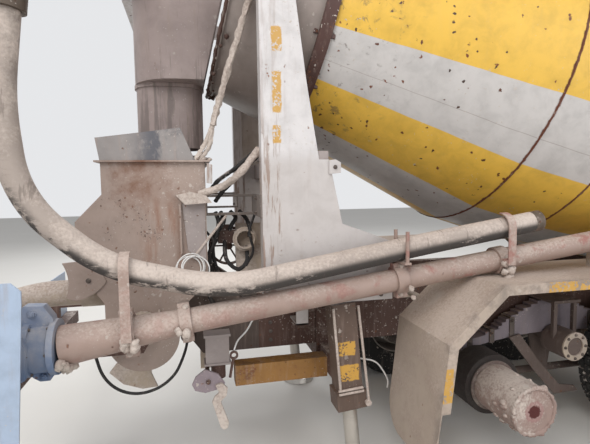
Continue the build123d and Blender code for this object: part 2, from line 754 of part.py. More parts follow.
export_step(pedestal_beams.part, "parts/pedestal_beams.step")

# Front pedestal and drum drive
GEAR_S = DRUM_END_S + DRUM_FLANGE_L + 1
GEAR_R = 215
GEAR_L = 330
MOTOR_R = 105
MOTOR_L = 280
MOUNT_R = 260
MOUNT_T = 30
MOUNT_S = GEAR_S + GEAR_L * 0.55
with BuildPart() as drum_drive:
    with BuildSketch(drum_section(GEAR_S)):
        Circle(GEAR_R)
    extrude(amount=GEAR_L)
    with BuildSketch(drum_section(MOUNT_S)):
        Circle(MOUNT_R)
    extrude(amount=MOUNT_T)
    with BuildSketch(drum_section(GEAR_S + GEAR_L)):
        Circle(MOTOR_R)
    extrude(amount=MOTOR_L)
drum_drive.part.label = "drum_drive"
export_step(drum_drive.part, "parts/drum_drive.step")

FRONT_PLATE_T = 25
FRONT_PLATE_Y = 290
FRONT_PLATE_DROP = 640
FRONT_GUSSET_T = 10
FRONT_GUSSET_TOP = 80
FRONT_GUSSET_IN = 30
FRONT_BASE_REAR_X = 2700
FRONT_BASE_FRONT_X = 3560
FRONT_BASE_T = 20
plate_s = MOUNT_S + MOUNT_T
plate_top = drum_point(plate_s + FRONT_PLATE_T / 2, 0, 0)
plate_low = drum_point(plate_s + FRONT_PLATE_T / 2, -FRONT_PLATE_DROP, 0)
gusset_z = SUB_TOP + FRONT_BASE_T / 2
with BuildPart() as front_pedestal:
    with BuildSketch(Plane.XY.offset(SUB_TOP)):
        with Locations(((FRONT_BASE_REAR_X + FRONT_BASE_FRONT_X) / 2, 0)):
            Rectangle(FRONT_BASE_FRONT_X - FRONT_BASE_REAR_X, 2 * RAIL_OUT_Y)
    extrude(amount=FRONT_BASE_T)
    for side in (-1, 1):
        with BuildSketch(at_y(side * FRONT_PLATE_Y)):
            with BuildLine():
                Polyline(
                    (plate_top[0], plate_top[2]),
                    (plate_top[0] + FRONT_GUSSET_TOP, plate_top[2]),
                    (FRONT_BASE_FRONT_X - FRONT_GUSSET_IN, gusset_z),
                    (FRONT_BASE_REAR_X + FRONT_GUSSET_IN, gusset_z),
                    (plate_low[0], plate_low[2]),
                    close=True,
                )
            make_face()
        extrude(amount=FRONT_GUSSET_T, both=True)
    with BuildSketch(drum_section(plate_s)):
        Circle(FRONT_PLATE_Y)
        with Locations((0, -FRONT_PLATE_DROP / 2)):
            Rectangle(2 * FRONT_PLATE_Y, FRONT_PLATE_DROP)
        Circle(GEAR_R + 2, mode=Mode.SUBTRACT)
    extrude(amount=FRONT_PLATE_T)
front_pedestal.part.label = "front_pedestal"
export_step(front_pedestal.part, "parts/front_pedestal.step")

# Discharge chute under the drum's mouth, and the long rounded sleeve below it
CHUTE_R = 300
CHUTE_T = 6
CHUTE_X = -2800
CHUTE_Z = 2585
CHUTE_TOP_Z = 3420
CHUTE_FRONT_X = -2400
MOUTH_GAP = 30
SLEEVE_R = 165
SLEEVE_REAR_X = CHUTE_X - CHUTE_R + CHUTE_T
SLEEVE_FRONT_X = -2645
SLEEVE_Z = 2150
SLEEVE_RIM_W = 12
SLEEVE_RIM_H = 25
sleeve_x = (SLEEVE_REAR_X + SLEEVE_FRONT_X) / 2
sleeve_l = SLEEVE_FRONT_X - SLEEVE_REAR_X
with BuildPart() as discharge_chute:
    with BuildSketch(Plane.XY.offset(CHUTE_Z)):
        with BuildLine():
            Line((CHUTE_FRONT_X, CHUTE_R), (CHUTE_X, CHUTE_R))
            ThreePointArc((CHUTE_X, CHUTE_R), (CHUTE_X - CHUTE_R, 0), (CHUTE_X, -CHUTE_R))
            Line((CHUTE_X, -CHUTE_R), (CHUTE_FRONT_X, -CHUTE_R))
            Line((CHUTE_FRONT_X, -CHUTE_R), (CHUTE_FRONT_X, CHUTE_R))
        make_face()
    extrude(amount=CHUTE_TOP_Z - CHUTE_Z)
    with BuildSketch(Plane.XY.offset(CHUTE_Z + CHUTE_T)):
        inner_r = CHUTE_R - CHUTE_T
        with BuildLine():
            Line((CHUTE_FRONT_X + 10, inner_r), (CHUTE_X, inner_r))
            ThreePointArc((CHUTE_X, inner_r), (CHUTE_X - inner_r, 0), (CHUTE_X, -inner_r))
            Line((CHUTE_X, -inner_r), (CHUTE_FRONT_X + 10, -inner_r))
            Line((CHUTE_FRONT_X + 10, -inner_r), (CHUTE_FRONT_X + 10, inner_r))
        make_face()
    extrude(amount=CHUTE_TOP_Z - CHUTE_Z, mode=Mode.SUBTRACT)
    with BuildSketch(Plane.XY.offset(CHUTE_Z - 1)):
        with Locations((sleeve_x, 0)):
            SlotOverall(sleeve_l - 2 * CHUTE_T, 2 * (SLEEVE_R - CHUTE_T))
    extrude(amount=CHUTE_T + 2, mode=Mode.SUBTRACT)
    mouth_cut = drum_section(DRUM_MOUTH_S - MOUTH_GAP)
    split(bisect_by=mouth_cut, keep=Keep.BOTTOM)
discharge_chute.part.label = "discharge_chute"
export_step(discharge_chute.part, "parts/discharge_chute.step")

with BuildPart() as drop_sleeve:
    with BuildSketch(Plane.XY.offset(SLEEVE_Z)):
        with Locations((sleeve_x, 0)):
            SlotOverall(sleeve_l, 2 * SLEEVE_R)
            SlotOverall(sleeve_l - 2 * CHUTE_T, 2 * (SLEEVE_R - CHUTE_T), mode=Mode.SUBTRACT)
    extrude(amount=CHUTE_Z - SLEEVE_Z)
    with BuildSketch(Plane.XY.offset(CHUTE_Z - SLEEVE_RIM_H)):
        with Locations((sleeve_x, 0)):
            SlotOverall(sleeve_l + 2 * SLEEVE_RIM_W, 2 * (SLEEVE_R + SLEEVE_RIM_W))
            SlotOverall(sleeve_l - 2, 2 * SLEEVE_R - 2, mode=Mode.SUBTRACT)
    extrude(amount=SLEEVE_RIM_H)
drop_sleeve.part.label = "drop_sleeve"
export_step(drop_sleeve.part, "parts/drop_sleeve.step")

# Frame behind the drum's mouth, and the charging hopper on it
ARM_Z = 3200
ARM_H = 100
ARM_T = 60
ARM_OUT_Y = PED_OUT_Y - 15
ARM_REAR_X = -3180
BAR_W = CHUTE_X - CHUTE_R - ARM_REAR_X - TOUCH
FEED_POST_Y = 360
FEED_POST_W = 60
FEED_POST_IN = 10
FEED_T = 6
FEED_TOP_Z = 4030
FEED_LOW_Z = 3500
FEED_FRONT_X = -2430
FEED_TOP_L = 760
FEED_TOP_W = 980
FEED_LOW_L = 300
FEED_LOW_W = 480


def feed_wall_z(x):
    """Height of the charging hopper's sloping rear wall at X = x."""
    low_x = FEED_FRONT_X - FEED_LOW_L
    high_x = FEED_FRONT_X - FEED_TOP_L
    return FEED_LOW_Z + (x - low_x) * (FEED_TOP_Z - FEED_LOW_Z) / (high_x - low_x)


with BuildPart() as mouth_frame:
    for side in (-1, 1):
        with BuildSketch(at_y(side * ARM_OUT_Y)):
            with Locations(((ARM_REAR_X + POST_REAR_X) / 2, ARM_Z + ARM_H / 2)):
                Rectangle(POST_REAR_X - ARM_REAR_X, ARM_H)
        extrude(amount=side * ARM_T)
    with BuildSketch(at_y(0)):
        with Locations((ARM_REAR_X + BAR_W / 2, ARM_Z + ARM_H / 2)):
            Rectangle(BAR_W, ARM_H)
    extrude(amount=ARM_OUT_Y, both=True)
    post_rear_x = ARM_REAR_X + FEED_POST_IN
    post_front_x = post_rear_x + FEED_POST_W
    for side in (-1, 1):
        with BuildSketch(at_y(side * FEED_POST_Y)):
            with BuildLine():
                Polyline(
                    (post_rear_x, ARM_Z + ARM_H),
                    (post_front_x, ARM_Z + ARM_H),
                    (post_front_x, feed_wall_z(post_front_x) - 2 * TOUCH),
                    (post_rear_x, feed_wall_z(post_rear_x) - 2 * TOUCH),
                    close=True,
                )
            make_face()
        extrude(amount=FEED_POST_W / 2, both=True)
mouth_frame.part.label = "mouth_frame"
export_step(mouth_frame.part, "parts/mouth_frame.step")

with BuildPart() as feed_hopper:
    with BuildSketch(Plane.XY.offset(FEED_TOP_Z)):
        with Locations((FEED_FRONT_X - FEED_TOP_L / 2, 0)):
            Rectangle(FEED_TOP_L, FEED_TOP_W)
    with BuildSketch(Plane.XY.offset(FEED_LOW_Z)):
        with Locations((FEED_FRONT_X - FEED_LOW_L / 2, 0)):
            Rectangle(FEED_LOW_L, FEED_LOW_W)
    loft()
    with BuildSketch(Plane.XY.offset(FEED_TOP_Z + 1)):
        with Locations((FEED_FRONT_X - FEED_TOP_L / 2, 0)):
            Rectangle(FEED_TOP_L - 2 * FEED_T, FEED_TOP_W - 2 * FEED_T)
    with BuildSketch(Plane.XY.offset(FEED_LOW_Z - 1)):
        with Locations((FEED_FRONT_X - FEED_LOW_L / 2, 0)):
            Rectangle(FEED_LOW_L - 2 * FEED_T, FEED_LOW_W - 2 * FEED_T)
    loft(mode=Mode.SUBTRACT)
feed_hopper.part.label = "feed_hopper"
export_step(feed_hopper.part, "parts/feed_hopper.step")

# Pump hopper, with a gusset on the outside of each of its side walls
GUSSET_T = 10
GUSSET_SUNK = 6
# Gusset's edge. Columns: X and Z of its corners and of the middle of each hollow edge
GUSSET_ROWS = (
    (-3244, 1340),
    (-3300, 1470),
    (-3476, 1457),
    (-3447, 1345),
    (-3463, 1256),
    (-3417, 1236),
    (-3318, 1268),
)
with BuildPart() as pump_hopper:
    with BuildSketch(at_y(0)) as hopper_side:
        with BuildLine():
            Line((HOPPER_FRONT_X, HOPPER_TOP_Z), (HOPPER_FRONT_X, HOPPER_FRONT_Z))
            Line((HOPPER_FRONT_X, HOPPER_FRONT_Z), (TROUGH_FRONT_X, TROUGH_FRONT_Z))
            Line((TROUGH_FRONT_X, TROUGH_FRONT_Z), (TROUGH_FRONT_X, TROUGH_Z))
            ThreePointArc(
                (TROUGH_FRONT_X, TROUGH_Z), (TROUGH_X, TROUGH_Z - TROUGH_R), (TROUGH_X - TROUGH_R, TROUGH_Z)
            )
            Polyline(
                (TROUGH_X - TROUGH_R, TROUGH_Z),
                (TROUGH_X - TROUGH_R, TROUGH_WALL_Z),
                (HOPPER_BULGE_X, HOPPER_BULGE_LOW_Z),
                (HOPPER_BULGE_X, HOPPER_BULGE_HIGH_Z),
                (HOPPER_REAR_X, HOPPER_SHOULDER_Z),
                (HOPPER_REAR_X, HOPPER_TOP_Z),
                (HOPPER_FRONT_X, HOPPER_TOP_Z),
            )
        make_face()
    extrude(amount=HOPPER_HALF_Y, both=True)
    with BuildSketch(Plane.XY.offset(HOPPER_TOP_Z - RIM_FLANGE_T)):
        with Locations(((HOPPER_FRONT_X + HOPPER_REAR_X) / 2, 0)):
            Rectangle(HOPPER_FRONT_X - HOPPER_REAR_X + 2 * RIM_FLANGE, 2 * (HOPPER_HALF_Y + RIM_FLANGE))
    extrude(amount=RIM_FLANGE_T)
    with BuildSketch(at_y(0)):
        offset(hopper_side.sketch_local, amount=-HOPPER_T, kind=Kind.INTERSECTION)
        with Locations(((HOPPER_FRONT_X + HOPPER_REAR_X) / 2, HOPPER_TOP_Z)):
            Rectangle(HOPPER_FRONT_X - HOPPER_REAR_X - 2 * HOPPER_T, 4 * HOPPER_T)
    extrude(amount=HOPPER_HALF_Y - HOPPER_T, both=True, mode=Mode.SUBTRACT)
    for side in (-1, 1):
        with BuildSketch(at_y(side * (HOPPER_HALF_Y - GUSSET_SUNK))):
            with BuildLine():
                Polyline(*GUSSET_ROWS[:3])
                ThreePointArc(*GUSSET_ROWS[2:5])
                Line(GUSSET_ROWS[4], GUSSET_ROWS[5])
                ThreePointArc(GUSSET_ROWS[5], GUSSET_ROWS[6], GUSSET_ROWS[0])
            make_face()
        extrude(amount=-side * (GUSSET_SUNK + GUSSET_T))
pump_hopper.part.label = "pump_hopper"
export_step(pump_hopper.part, "parts/pump_hopper.step")

GRATE_BAR = 10
GRATE_BARS = 11
GRATE_H = 30
GRATE_PITCH = 95
GRATE_EDGE = 40
GRATE_BACK_Y = 20
hopper_mid_x = (HOPPER_FRONT_X + HOPPER_REAR_X) / 2
hopper_l = HOPPER_FRONT_X - HOPPER_REAR_X
with BuildPart() as hopper_grate:
    with BuildSketch(Plane.XY.offset(HOPPER_TOP_Z)):
        grate_w = 2 * (HOPPER_HALF_Y - GRATE_BACK_Y)
        with Locations((hopper_mid_x, 0)):
            Rectangle(hopper_l, grate_w)
            Rectangle(hopper_l - 2 * GRATE_EDGE, grate_w - 2 * GRATE_EDGE, mode=Mode.SUBTRACT)
            with GridLocations(0, GRATE_PITCH, 1, GRATE_BARS):
                Rectangle(hopper_l - 2 * GRATE_EDGE + GRATE_BAR, GRATE_BAR)
    extrude(amount=GRATE_H)
hopper_grate.part.label = "hopper_grate"
export_step(hopper_grate.part, "parts/hopper_grate.step")

# Side splash plates on the hopper. Columns: X and Z of the corners
APRON_ROWS = ((-3249, HOPPER_TOP_Z), (-3269, 2167), (-2798, 2230), (-2718, HOPPER_TOP_Z))
APRON_T = 8
APRON_OUT = 20
with BuildPart() as splash_plates:
    for side in (-1, 1):
        with BuildSketch(at_y(side * (HOPPER_HALF_Y + APRON_OUT))):
            with BuildLine():
                Polyline(*APRON_ROWS, close=True)
            make_face()
        extrude(amount=side * APRON_T)
splash_plates.part.label = "splash_plates"
export_step(splash_plates.part, "parts/splash_plates.step")

PUMP_FLANGE_T = 30
GLAND_T = 45
BOX_EDGE = 20
box_x = TROUGH_FRONT_X + PUMP_CYL_L
with BuildPart() as pump_unit:
    for side in (-1, 1):
        with BuildSketch(at_x(TROUGH_FRONT_X)):
            with Locations((side * PUMP_Y, PUMP_Z)):
                Circle(PUMP_CYL_R)
        extrude(amount=PUMP_CYL_L)
        with BuildSketch(at_x(box_x + WATER_BOX_L)):
            with Locations((side * PUMP_Y, PUMP_Z)):
                Circle(DRIVE_CYL_R)
        extrude(amount=DRIVE_CYL_L)
        with BuildSketch(at_x(box_x + WATER_BOX_L + DRIVE_CYL_L)):
            with Locations((side * PUMP_Y, PUMP_Z)):
                Circle(DRIVE_CYL_R + BOX_EDGE)
        extrude(amount=GLAND_T)
    with BuildSketch(at_x(box_x)):
        with Locations((0, PUMP_Z)):
            Rectangle(2 * (PUMP_Y + PUMP_CYL_R + BOX_EDGE), 2 * (PUMP_CYL_R + BOX_EDGE))
    extrude(amount=WATER_BOX_L)
    with BuildSketch(at_x(TROUGH_FRONT_X)):
        with Locations((0, PUMP_Z)):
            Rectangle(2 * (PUMP_Y + PUMP_CYL_R + BOX_EDGE), 2 * PUMP_CYL_R)
    extrude(amount=PUMP_FLANGE_T)
pump_unit.part.label = "pump_unit"
export_step(pump_unit.part, "parts/pump_unit.step")

# Arms that carry the hopper off the ends of the rails, and the tie to the pedestal
ARM_W = 80
ARM_LOW_X = -2700
TIE_Z = 1767
TIE_H = 130
TIE_D = 60
TIE_WEB = 15
TIE_PLATE_T = 10
with BuildPart() as hopper_arms:
    for side in (-1, 1):
        with BuildSketch(at_y(side * (RAIL_OUT_Y - ARM_W / 2))):
            with BuildLine():
                Polyline(
                    (RAIL_REAR_X, RAIL_Z),
                    (RAIL_REAR_X, RAIL_TOP),
                    (HOPPER_FRONT_X, HOPPER_FRONT_Z),
                    (TROUGH_FRONT_X, TROUGH_FRONT_Z),
                    (TROUGH_FRONT_X, TROUGH_Z),
                    (ARM_LOW_X, RAIL_Z),
                    close=True,
                )
            make_face()
        extrude(amount=ARM_W / 2, both=True)
hopper_arms.part.label = "hopper_arms"
export_step(hopper_arms.part, "parts/hopper_arms.step")

with BuildPart() as hopper_ties:
    for side in (-1, 1):
        with BuildSketch(at_y(side * (HOPPER_HALF_Y - TIE_D))):
            with Locations(((HOPPER_FRONT_X + POST_REAR_X) / 2, TIE_Z)):
                Rectangle(POST_REAR_X - HOPPER_FRONT_X, TIE_H)
                Rectangle(POST_REAR_X - HOPPER_FRONT_X - 2 * TIE_PLATE_T, TIE_H - 2 * TIE_WEB, mode=Mode.SUBTRACT)
        extrude(amount=side * TIE_D)
        with BuildSketch(at_x(POST_REAR_X - TIE_PLATE_T)):
            with Locations((side * (HOPPER_HALF_Y + PED_OUT_Y - TIE_D) / 2, TIE_Z)):
                Rectangle(PED_OUT_Y - HOPPER_HALF_Y + TIE_D, TIE_H)
        extrude(amount=TIE_PLATE_T)
hopper_ties.part.label = "hopper_ties"
export_step(hopper_ties.part, "parts/hopper_ties.step")

# Outlet bend, coupling and reducer. The bend leaves the hopper's sloping wall and turns back to the side
BEND_R = math.hypot(OUTLET_Y - PIPE_Y, OUTLET_Z - PIPE_START_Z) / 2
BEND_START_X = HOPPER_BULGE_X - 20
SOCKET_R = OUTLET_R + 14
SOCKET_REAR_X = TROUGH_X - TROUGH_R
with BuildPart() as outlet_bend:
    with BuildLine():
        Line((BEND_START_X, OUTLET_Y, OUTLET_Z), (BEND_END_X, OUTLET_Y, OUTLET_Z))
        ThreePointArc(
            (BEND_END_X, OUTLET_Y, OUTLET_Z),
            (BEND_END_X - BEND_R, (OUTLET_Y + PIPE_Y) / 2, (OUTLET_Z + PIPE_START_Z) / 2),
            (BEND_END_X, PIPE_Y, PIPE_START_Z),
        )
    with BuildSketch(Plane(origin=(BEND_START_X, OUTLET_Y, OUTLET_Z), z_dir=(-1, 0, 0))):
        Circle(OUTLET_R)
        Circle(OUTLET_R - OUTLET_WALL, mode=Mode.SUBTRACT)
    sweep()
    with BuildSketch(at_x(BEND_START_X - 1)):
        with Locations((OUTLET_Y, OUTLET_Z)):
            Circle(SOCKET_R)
            Circle(OUTLET_R - OUTLET_WALL - 1, mode=Mode.SUBTRACT)
    extrude(amount=SOCKET_REAR_X - BEND_START_X + 1)
    with BuildSketch(at_y(OUTLET_Y)):
        offset(hopper_side.sketch_local, amount=TOUCH, kind=Kind.INTERSECTION)
    extrude(amount=2 * SOCKET_R, both=True, mode=Mode.SUBTRACT)
outlet_bend.part.label = "outlet_bend"
export_step(outlet_bend.part, "parts/outlet_bend.step")

pipe_dir = (math.cos(math.radians(PIPE_RISE)), 0, math.sin(math.radians(PIPE_RISE)))


def pipe_plane(x):
    """Plane across the rising delivery pipe at X = x, facing forward. Local x is Y."""
    return Plane(origin=(x, PIPE_Y, pipe_z(x)), x_dir=(0, 1, 0), z_dir=pipe_dir)


coupling_end_x = PIPE_START_X - REDUCER_R * math.sin(math.radians(PIPE_RISE)) - TOUCH
with BuildPart() as outlet_coupling:
    with BuildSketch(at_x(BEND_END_X)):
        with Locations((PIPE_Y, PIPE_START_Z)):
            Circle(COUPLING_R)
            Circle(OUTLET_R - OUTLET_WALL, mode=Mode.SUBTRACT)
    extrude(amount=coupling_end_x - BEND_END_X)
    for rim_x in (BEND_END_X, coupling_end_x - COUPLING_RIM_T):
        with BuildSketch(at_x(rim_x)):
            with Locations((PIPE_Y, PIPE_START_Z)):
                Circle(COUPLING_RIM_R)
                Circle(COUPLING_R - 2, mode=Mode.SUBTRACT)
        extrude(amount=COUPLING_RIM_T)
outlet_coupling.part.label = "outlet_coupling"
export_step(outlet_coupling.part, "parts/outlet_coupling.step")

with BuildPart() as reducer:
    with BuildSketch(pipe_plane(PIPE_START_X)):
        Circle(REDUCER_R)
    with BuildSketch(pipe_plane(PIPE_START_X).offset(REDUCER_L)):
        Circle(PIPE_R)
    loft()
    with BuildSketch(pipe_plane(PIPE_START_X).offset(-1)):
        Circle(REDUCER_R - PIPE_WALL)
    with BuildSketch(pipe_plane(PIPE_START_X).offset(REDUCER_L + 1)):
        Circle(PIPE_R - PIPE_WALL)
    loft(mode=Mode.SUBTRACT)
reducer.part.label = "reducer"
export_step(reducer.part, "parts/reducer.step")

pipe_join_x = PIPE_START_X + REDUCER_L * math.cos(math.radians(PIPE_RISE))
rear_pipe_l = (PIPE_BEND_X - pipe_join_x) / math.cos(math.radians(PIPE_RISE))
with BuildPart() as delivery_pipe_rear:
    with BuildSketch(pipe_plane(pipe_join_x)):
        Circle(PIPE_R)
        Circle(PIPE_R - PIPE_WALL, mode=Mode.SUBTRACT)
    extrude(amount=rear_pipe_l)
delivery_pipe_rear.part.label = "delivery_pipe_rear"
export_step(delivery_pipe_rear.part, "parts/delivery_pipe_rear.step")

FRONT_PIPE_Y = -1120
FRONT_PIPE_Z = 1520
with BuildPart() as delivery_pipe_front:
    pipe_from = (PIPE_BEND_X, PIPE_Y, pipe_z(PIPE_BEND_X))
    pipe_turn = (PIPE_BEND_X + 150, PIPE_Y, pipe_z(PIPE_BEND_X + 150))
    with BuildLine():
        FilletPolyline(
            pipe_from,
            pipe_turn,
            (PIPE_BEND_X + 750, FRONT_PIPE_Y, FRONT_PIPE_Z),
            (LENGTH_END_X, FRONT_PIPE_Y, FRONT_PIPE_Z),
            radius=400,
        )
    with BuildSketch(pipe_plane(PIPE_BEND_X)):
        Circle(PIPE_R)
        Circle(PIPE_R - PIPE_WALL, mode=Mode.SUBTRACT)
    sweep()
    with BuildSketch(at_x(LENGTH_END_X - PIPE_COLLAR_L)):
        with Locations((FRONT_PIPE_Y, FRONT_PIPE_Z)):
            Circle(PIPE_COLLAR_R)
            Circle(PIPE_R - 1, mode=Mode.SUBTRACT)
    extrude(amount=PIPE_COLLAR_L)
delivery_pipe_front.part.label = "delivery_pipe_front"
export_step(delivery_pipe_front.part, "parts/delivery_pipe_front.step")

# Stowed end hose. Columns: X and Z of the route's corners, and the radius at each inner corner
HOSE_ROWS = (
    (-3550, 2705, 0),
    (-3600, 2300, 1500),
    (-3555, 1830, 560),
    (-3180, 1490, 760),
    (-2600, 1340, 1150),
    (-1420, 1530, 2500),
    (-706, 1635, 0),
)


def hose_z(x):
    """Height of the hose's centreline at X = x on the straight runs between its last corners."""
    for (x_1, z_1, _), (x_2, z_2, _) in zip(HOSE_ROWS[2:-1], HOSE_ROWS[3:]):
        if x_1 <= x <= x_2:
            return z_1 + (x - x_1) * (z_2 - z_1) / (x_2 - x_1)


# Clamp couplings on the delivery line. Columns: X, half width along the pipe, turn of the two bolt lugs
CLAMP_ROWS = ((-3080, 34, 90), (pipe_join_x, 30, 90), (-1570, 34, 90), (-900, 34, 0), (PIPE_BEND_X, 34, 0))
CLAMP_T = 16
CLAMP_LUG_L = 44
CLAMP_LUG_W = 50
CONE_SLOPE = (REDUCER_R - PIPE_R) / REDUCER_L
STRAP_W = 50
STRAP_T = 8
STRAP_GAP = 22
STRAP_FOOT_H = 30
STRAP_FOOT_SUNK = 5
STRAP_CUT = 300
STRAP_HALF_L = 34
STAKE_R = 11
STAKE_X = -1570
STAKE_SEAT_T = 12
STAKE_SEAT_L = 40
STAKE_FOOT_W = 40
STAKE_FOOT_UP = 10
STAKE_OVER = 60
# Columns: X of the strap, lift of the bent hose's centreline above its straight runs there
STRAP_ROWS = ((-3080, 5), (-900, 0))
with BuildPart() as pipe_clamps:
    for clamp_x, half_w, lug_turn in CLAMP_ROWS:
        on_cone = clamp_x <= pipe_join_x
        clamp_bore = PIPE_R + TOUCH
        if on_cone:
            clamp_bore += (pipe_join_x - clamp_x) * CONE_SLOPE + half_w * CONE_SLOPE
        with BuildSketch(pipe_plane(clamp_x)):
            Circle(clamp_bore + CLAMP_T)
            with PolarLocations(clamp_bore + CLAMP_T, 2, start_angle=lug_turn):
                Rectangle(CLAMP_LUG_L, CLAMP_LUG_W)
            Circle(clamp_bore, mode=Mode.SUBTRACT)
        extrude(amount=half_w, both=True)
    for strap_x, bend_lift in STRAP_ROWS:
        strap_r = HOSE_R + STRAP_GAP
        strap_y = HOSE_Y - strap_r - STRAP_T
        strap_z = hose_z(strap_x) + bend_lift
        foot_z = pipe_z(strap_x)
        with BuildSketch(at_x(strap_x - STRAP_W / 2)):
            with Locations((HOSE_Y, strap_z)):
                Circle(strap_r + STRAP_T)
                Circle(strap_r, mode=Mode.SUBTRACT)
            with Locations((HOSE_Y + STRAP_CUT / 2, strap_z), (HOSE_Y, strap_z - STRAP_CUT / 2)):
                Rectangle(STRAP_CUT, STRAP_CUT, mode=Mode.SUBTRACT)
            with Locations((strap_y + STRAP_T / 2, (strap_z + foot_z) / 2)):
                Rectangle(STRAP_T, strap_z - foot_z)
            foot_in_y = PIPE_Y - PIPE_R - STRAP_FOOT_SUNK
            with Locations(((strap_y + foot_in_y) / 2, foot_z)):
                Rectangle(foot_in_y - strap_y, STRAP_FOOT_H)
        extrude(amount=STRAP_W)
        with BuildSketch(pipe_plane(strap_x)):
            Circle(PIPE_R + TOUCH + max(0, pipe_join_x - strap_x + STRAP_HALF_L) * CONE_SLOPE)
        extrude(amount=STRAP_W, both=True, mode=Mode.SUBTRACT)
    seat_rear_x = STAKE_X - STAKE_SEAT_L / 2
    seat_slope = (hose_z(STAKE_X) - hose_z(seat_rear_x)) / (STAKE_SEAT_L / 2)
    seat_z = hose_z(seat_rear_x) - HOSE_R * math.hypot(1, seat_slope) - TOUCH - STAKE_SEAT_T
    stake_y = HOSE_R + TOUCH + STAKE_R
    with BuildSketch(Plane.XY.offset(seat_z)):
        with Locations((STAKE_X, HOSE_Y)):
            Rectangle(STAKE_SEAT_L, 2 * (stake_y + STAKE_R))
    extrude(amount=STAKE_SEAT_T)
    stake_foot_z = pipe_z(STAKE_X) + PIPE_R + STAKE_FOOT_UP
    with BuildSketch(Plane.XY.offset(stake_foot_z)):
        with Locations((STAKE_X, PIPE_Y)):
            Rectangle(STAKE_SEAT_L, STAKE_FOOT_W)
    extrude(amount=seat_z + STAKE_SEAT_T / 2 - stake_foot_z)
    with BuildSketch(Plane.XY.offset(seat_z)):
        with Locations((STAKE_X, HOSE_Y - stake_y), (STAKE_X, HOSE_Y + stake_y)):
            Circle(STAKE_R)
    extrude(amount=2 * HOSE_R + STAKE_OVER)
pipe_clamps.part.label = "pipe_clamps"
export_step(pipe_clamps.part, "parts/pipe_clamps.step")

with BuildPart() as end_hose:
    with BuildLine():
        FilletPolyline(*[(x, HOSE_Y, z) for x, z, r in HOSE_ROWS], radius=[r for x, z, r in HOSE_ROWS[1:-1]])
    hose_dir = Vector(HOSE_ROWS[1][0] - HOSE_ROWS[0][0], 0, HOSE_ROWS[1][1] - HOSE_ROWS[0][1])
    with BuildSketch(Plane(origin=(HOSE_ROWS[0][0], HOSE_Y, HOSE_ROWS[0][1]), x_dir=(0, 1, 0), z_dir=hose_dir)):
        Circle(HOSE_R)
        Circle(HOSE_BORE_R, mode=Mode.SUBTRACT)
    sweep()
end_hose.part.label = "end_hose"
export_step(end_hose.part, "parts/end_hose.step")

# Steel couplings on the hose's ends, and the hanger that holds the upper one
FITTING_R = 86
FITTING_L = 110
CUFF_L = 60
LUG_T = 20
LUG_H = 70
LUG_R = 45
LUG_SUNK = 20
HANGER_PIN_R = 20
HANGER_T = 12
HANGER_HALF = 60
HANGER_SEAT_L = 200
hose_top = Vector(HOSE_ROWS[0][0], HOSE_Y, HOSE_ROWS[0][1])
hose_up = -hose_dir.normalized()
hose_tail = Vector(HOSE_ROWS[-1][0], HOSE_Y, HOSE_ROWS[-1][1])
tail_dir = Vector(HOSE_ROWS[-1][0] - HOSE_ROWS[-2][0], 0, HOSE_ROWS[-1][1] - HOSE_ROWS[-2][1])
pin_at = hose_top + hose_up * (FITTING_L + LUG_H)
with BuildPart() as hose_fittings:
    with BuildSketch(Plane(origin=hose_top, x_dir=(0, 1, 0), z_dir=hose_up)):
        Circle(FITTING_R)
    extrude(amount=FITTING_L)
    with BuildSketch(at_y(HOSE_Y)):
        with Locations((pin_at.X, pin_at.Z)):
            Circle(LUG_R)
        with Locations((pin_at.X, pin_at.Z - (LUG_H + LUG_SUNK) / 2)):
            Rectangle(2 * LUG_R, LUG_H + LUG_SUNK)
        with Locations((pin_at.X, pin_at.Z)):
            Circle(HANGER_PIN_R + TOUCH, mode=Mode.SUBTRACT)
    extrude(amount=LUG_T / 2, both=True)
    with BuildSketch(Plane(origin=hose_tail, x_dir=(0, 1, 0), z_dir=tail_dir)):
        Circle(HOSE_R)
        Circle(HOSE_BORE_R, mode=Mode.SUBTRACT)
    extrude(amount=CUFF_L)
hose_fittings.part.label = "hose_fittings"
export_step(hose_fittings.part, "parts/hose_fittings.step")

with BuildPart() as hose_hanger:
    with BuildSketch(at_y(-ARM_OUT_Y)):
        with BuildLine():
            Polyline(
                (ARM_REAR_X + HANGER_SEAT_L, ARM_Z + ARM_H),
                (ARM_REAR_X + HANGER_SEAT_L, ARM_Z),
                (pin_at.X + HANGER_HALF, pin_at.Z - HANGER_HALF),
                (pin_at.X - HANGER_HALF, pin_at.Z - HANGER_HALF),
                (pin_at.X - HANGER_HALF, pin_at.Z + HANGER_HALF),
                (ARM_REAR_X, ARM_Z + ARM_H),
                close=True,
            )
        make_face()
    extrude(amount=HANGER_T)
    with BuildSketch(at_y(-ARM_OUT_Y)):
        with Locations((pin_at.X, pin_at.Z)):
            Circle(HANGER_PIN_R)
    extrude(amount=-ARM_OUT_Y - HOSE_Y + LUG_T)
hose_hanger.part.label = "hose_hanger"
export_step(hose_hanger.part, "parts/hose_hanger.step")

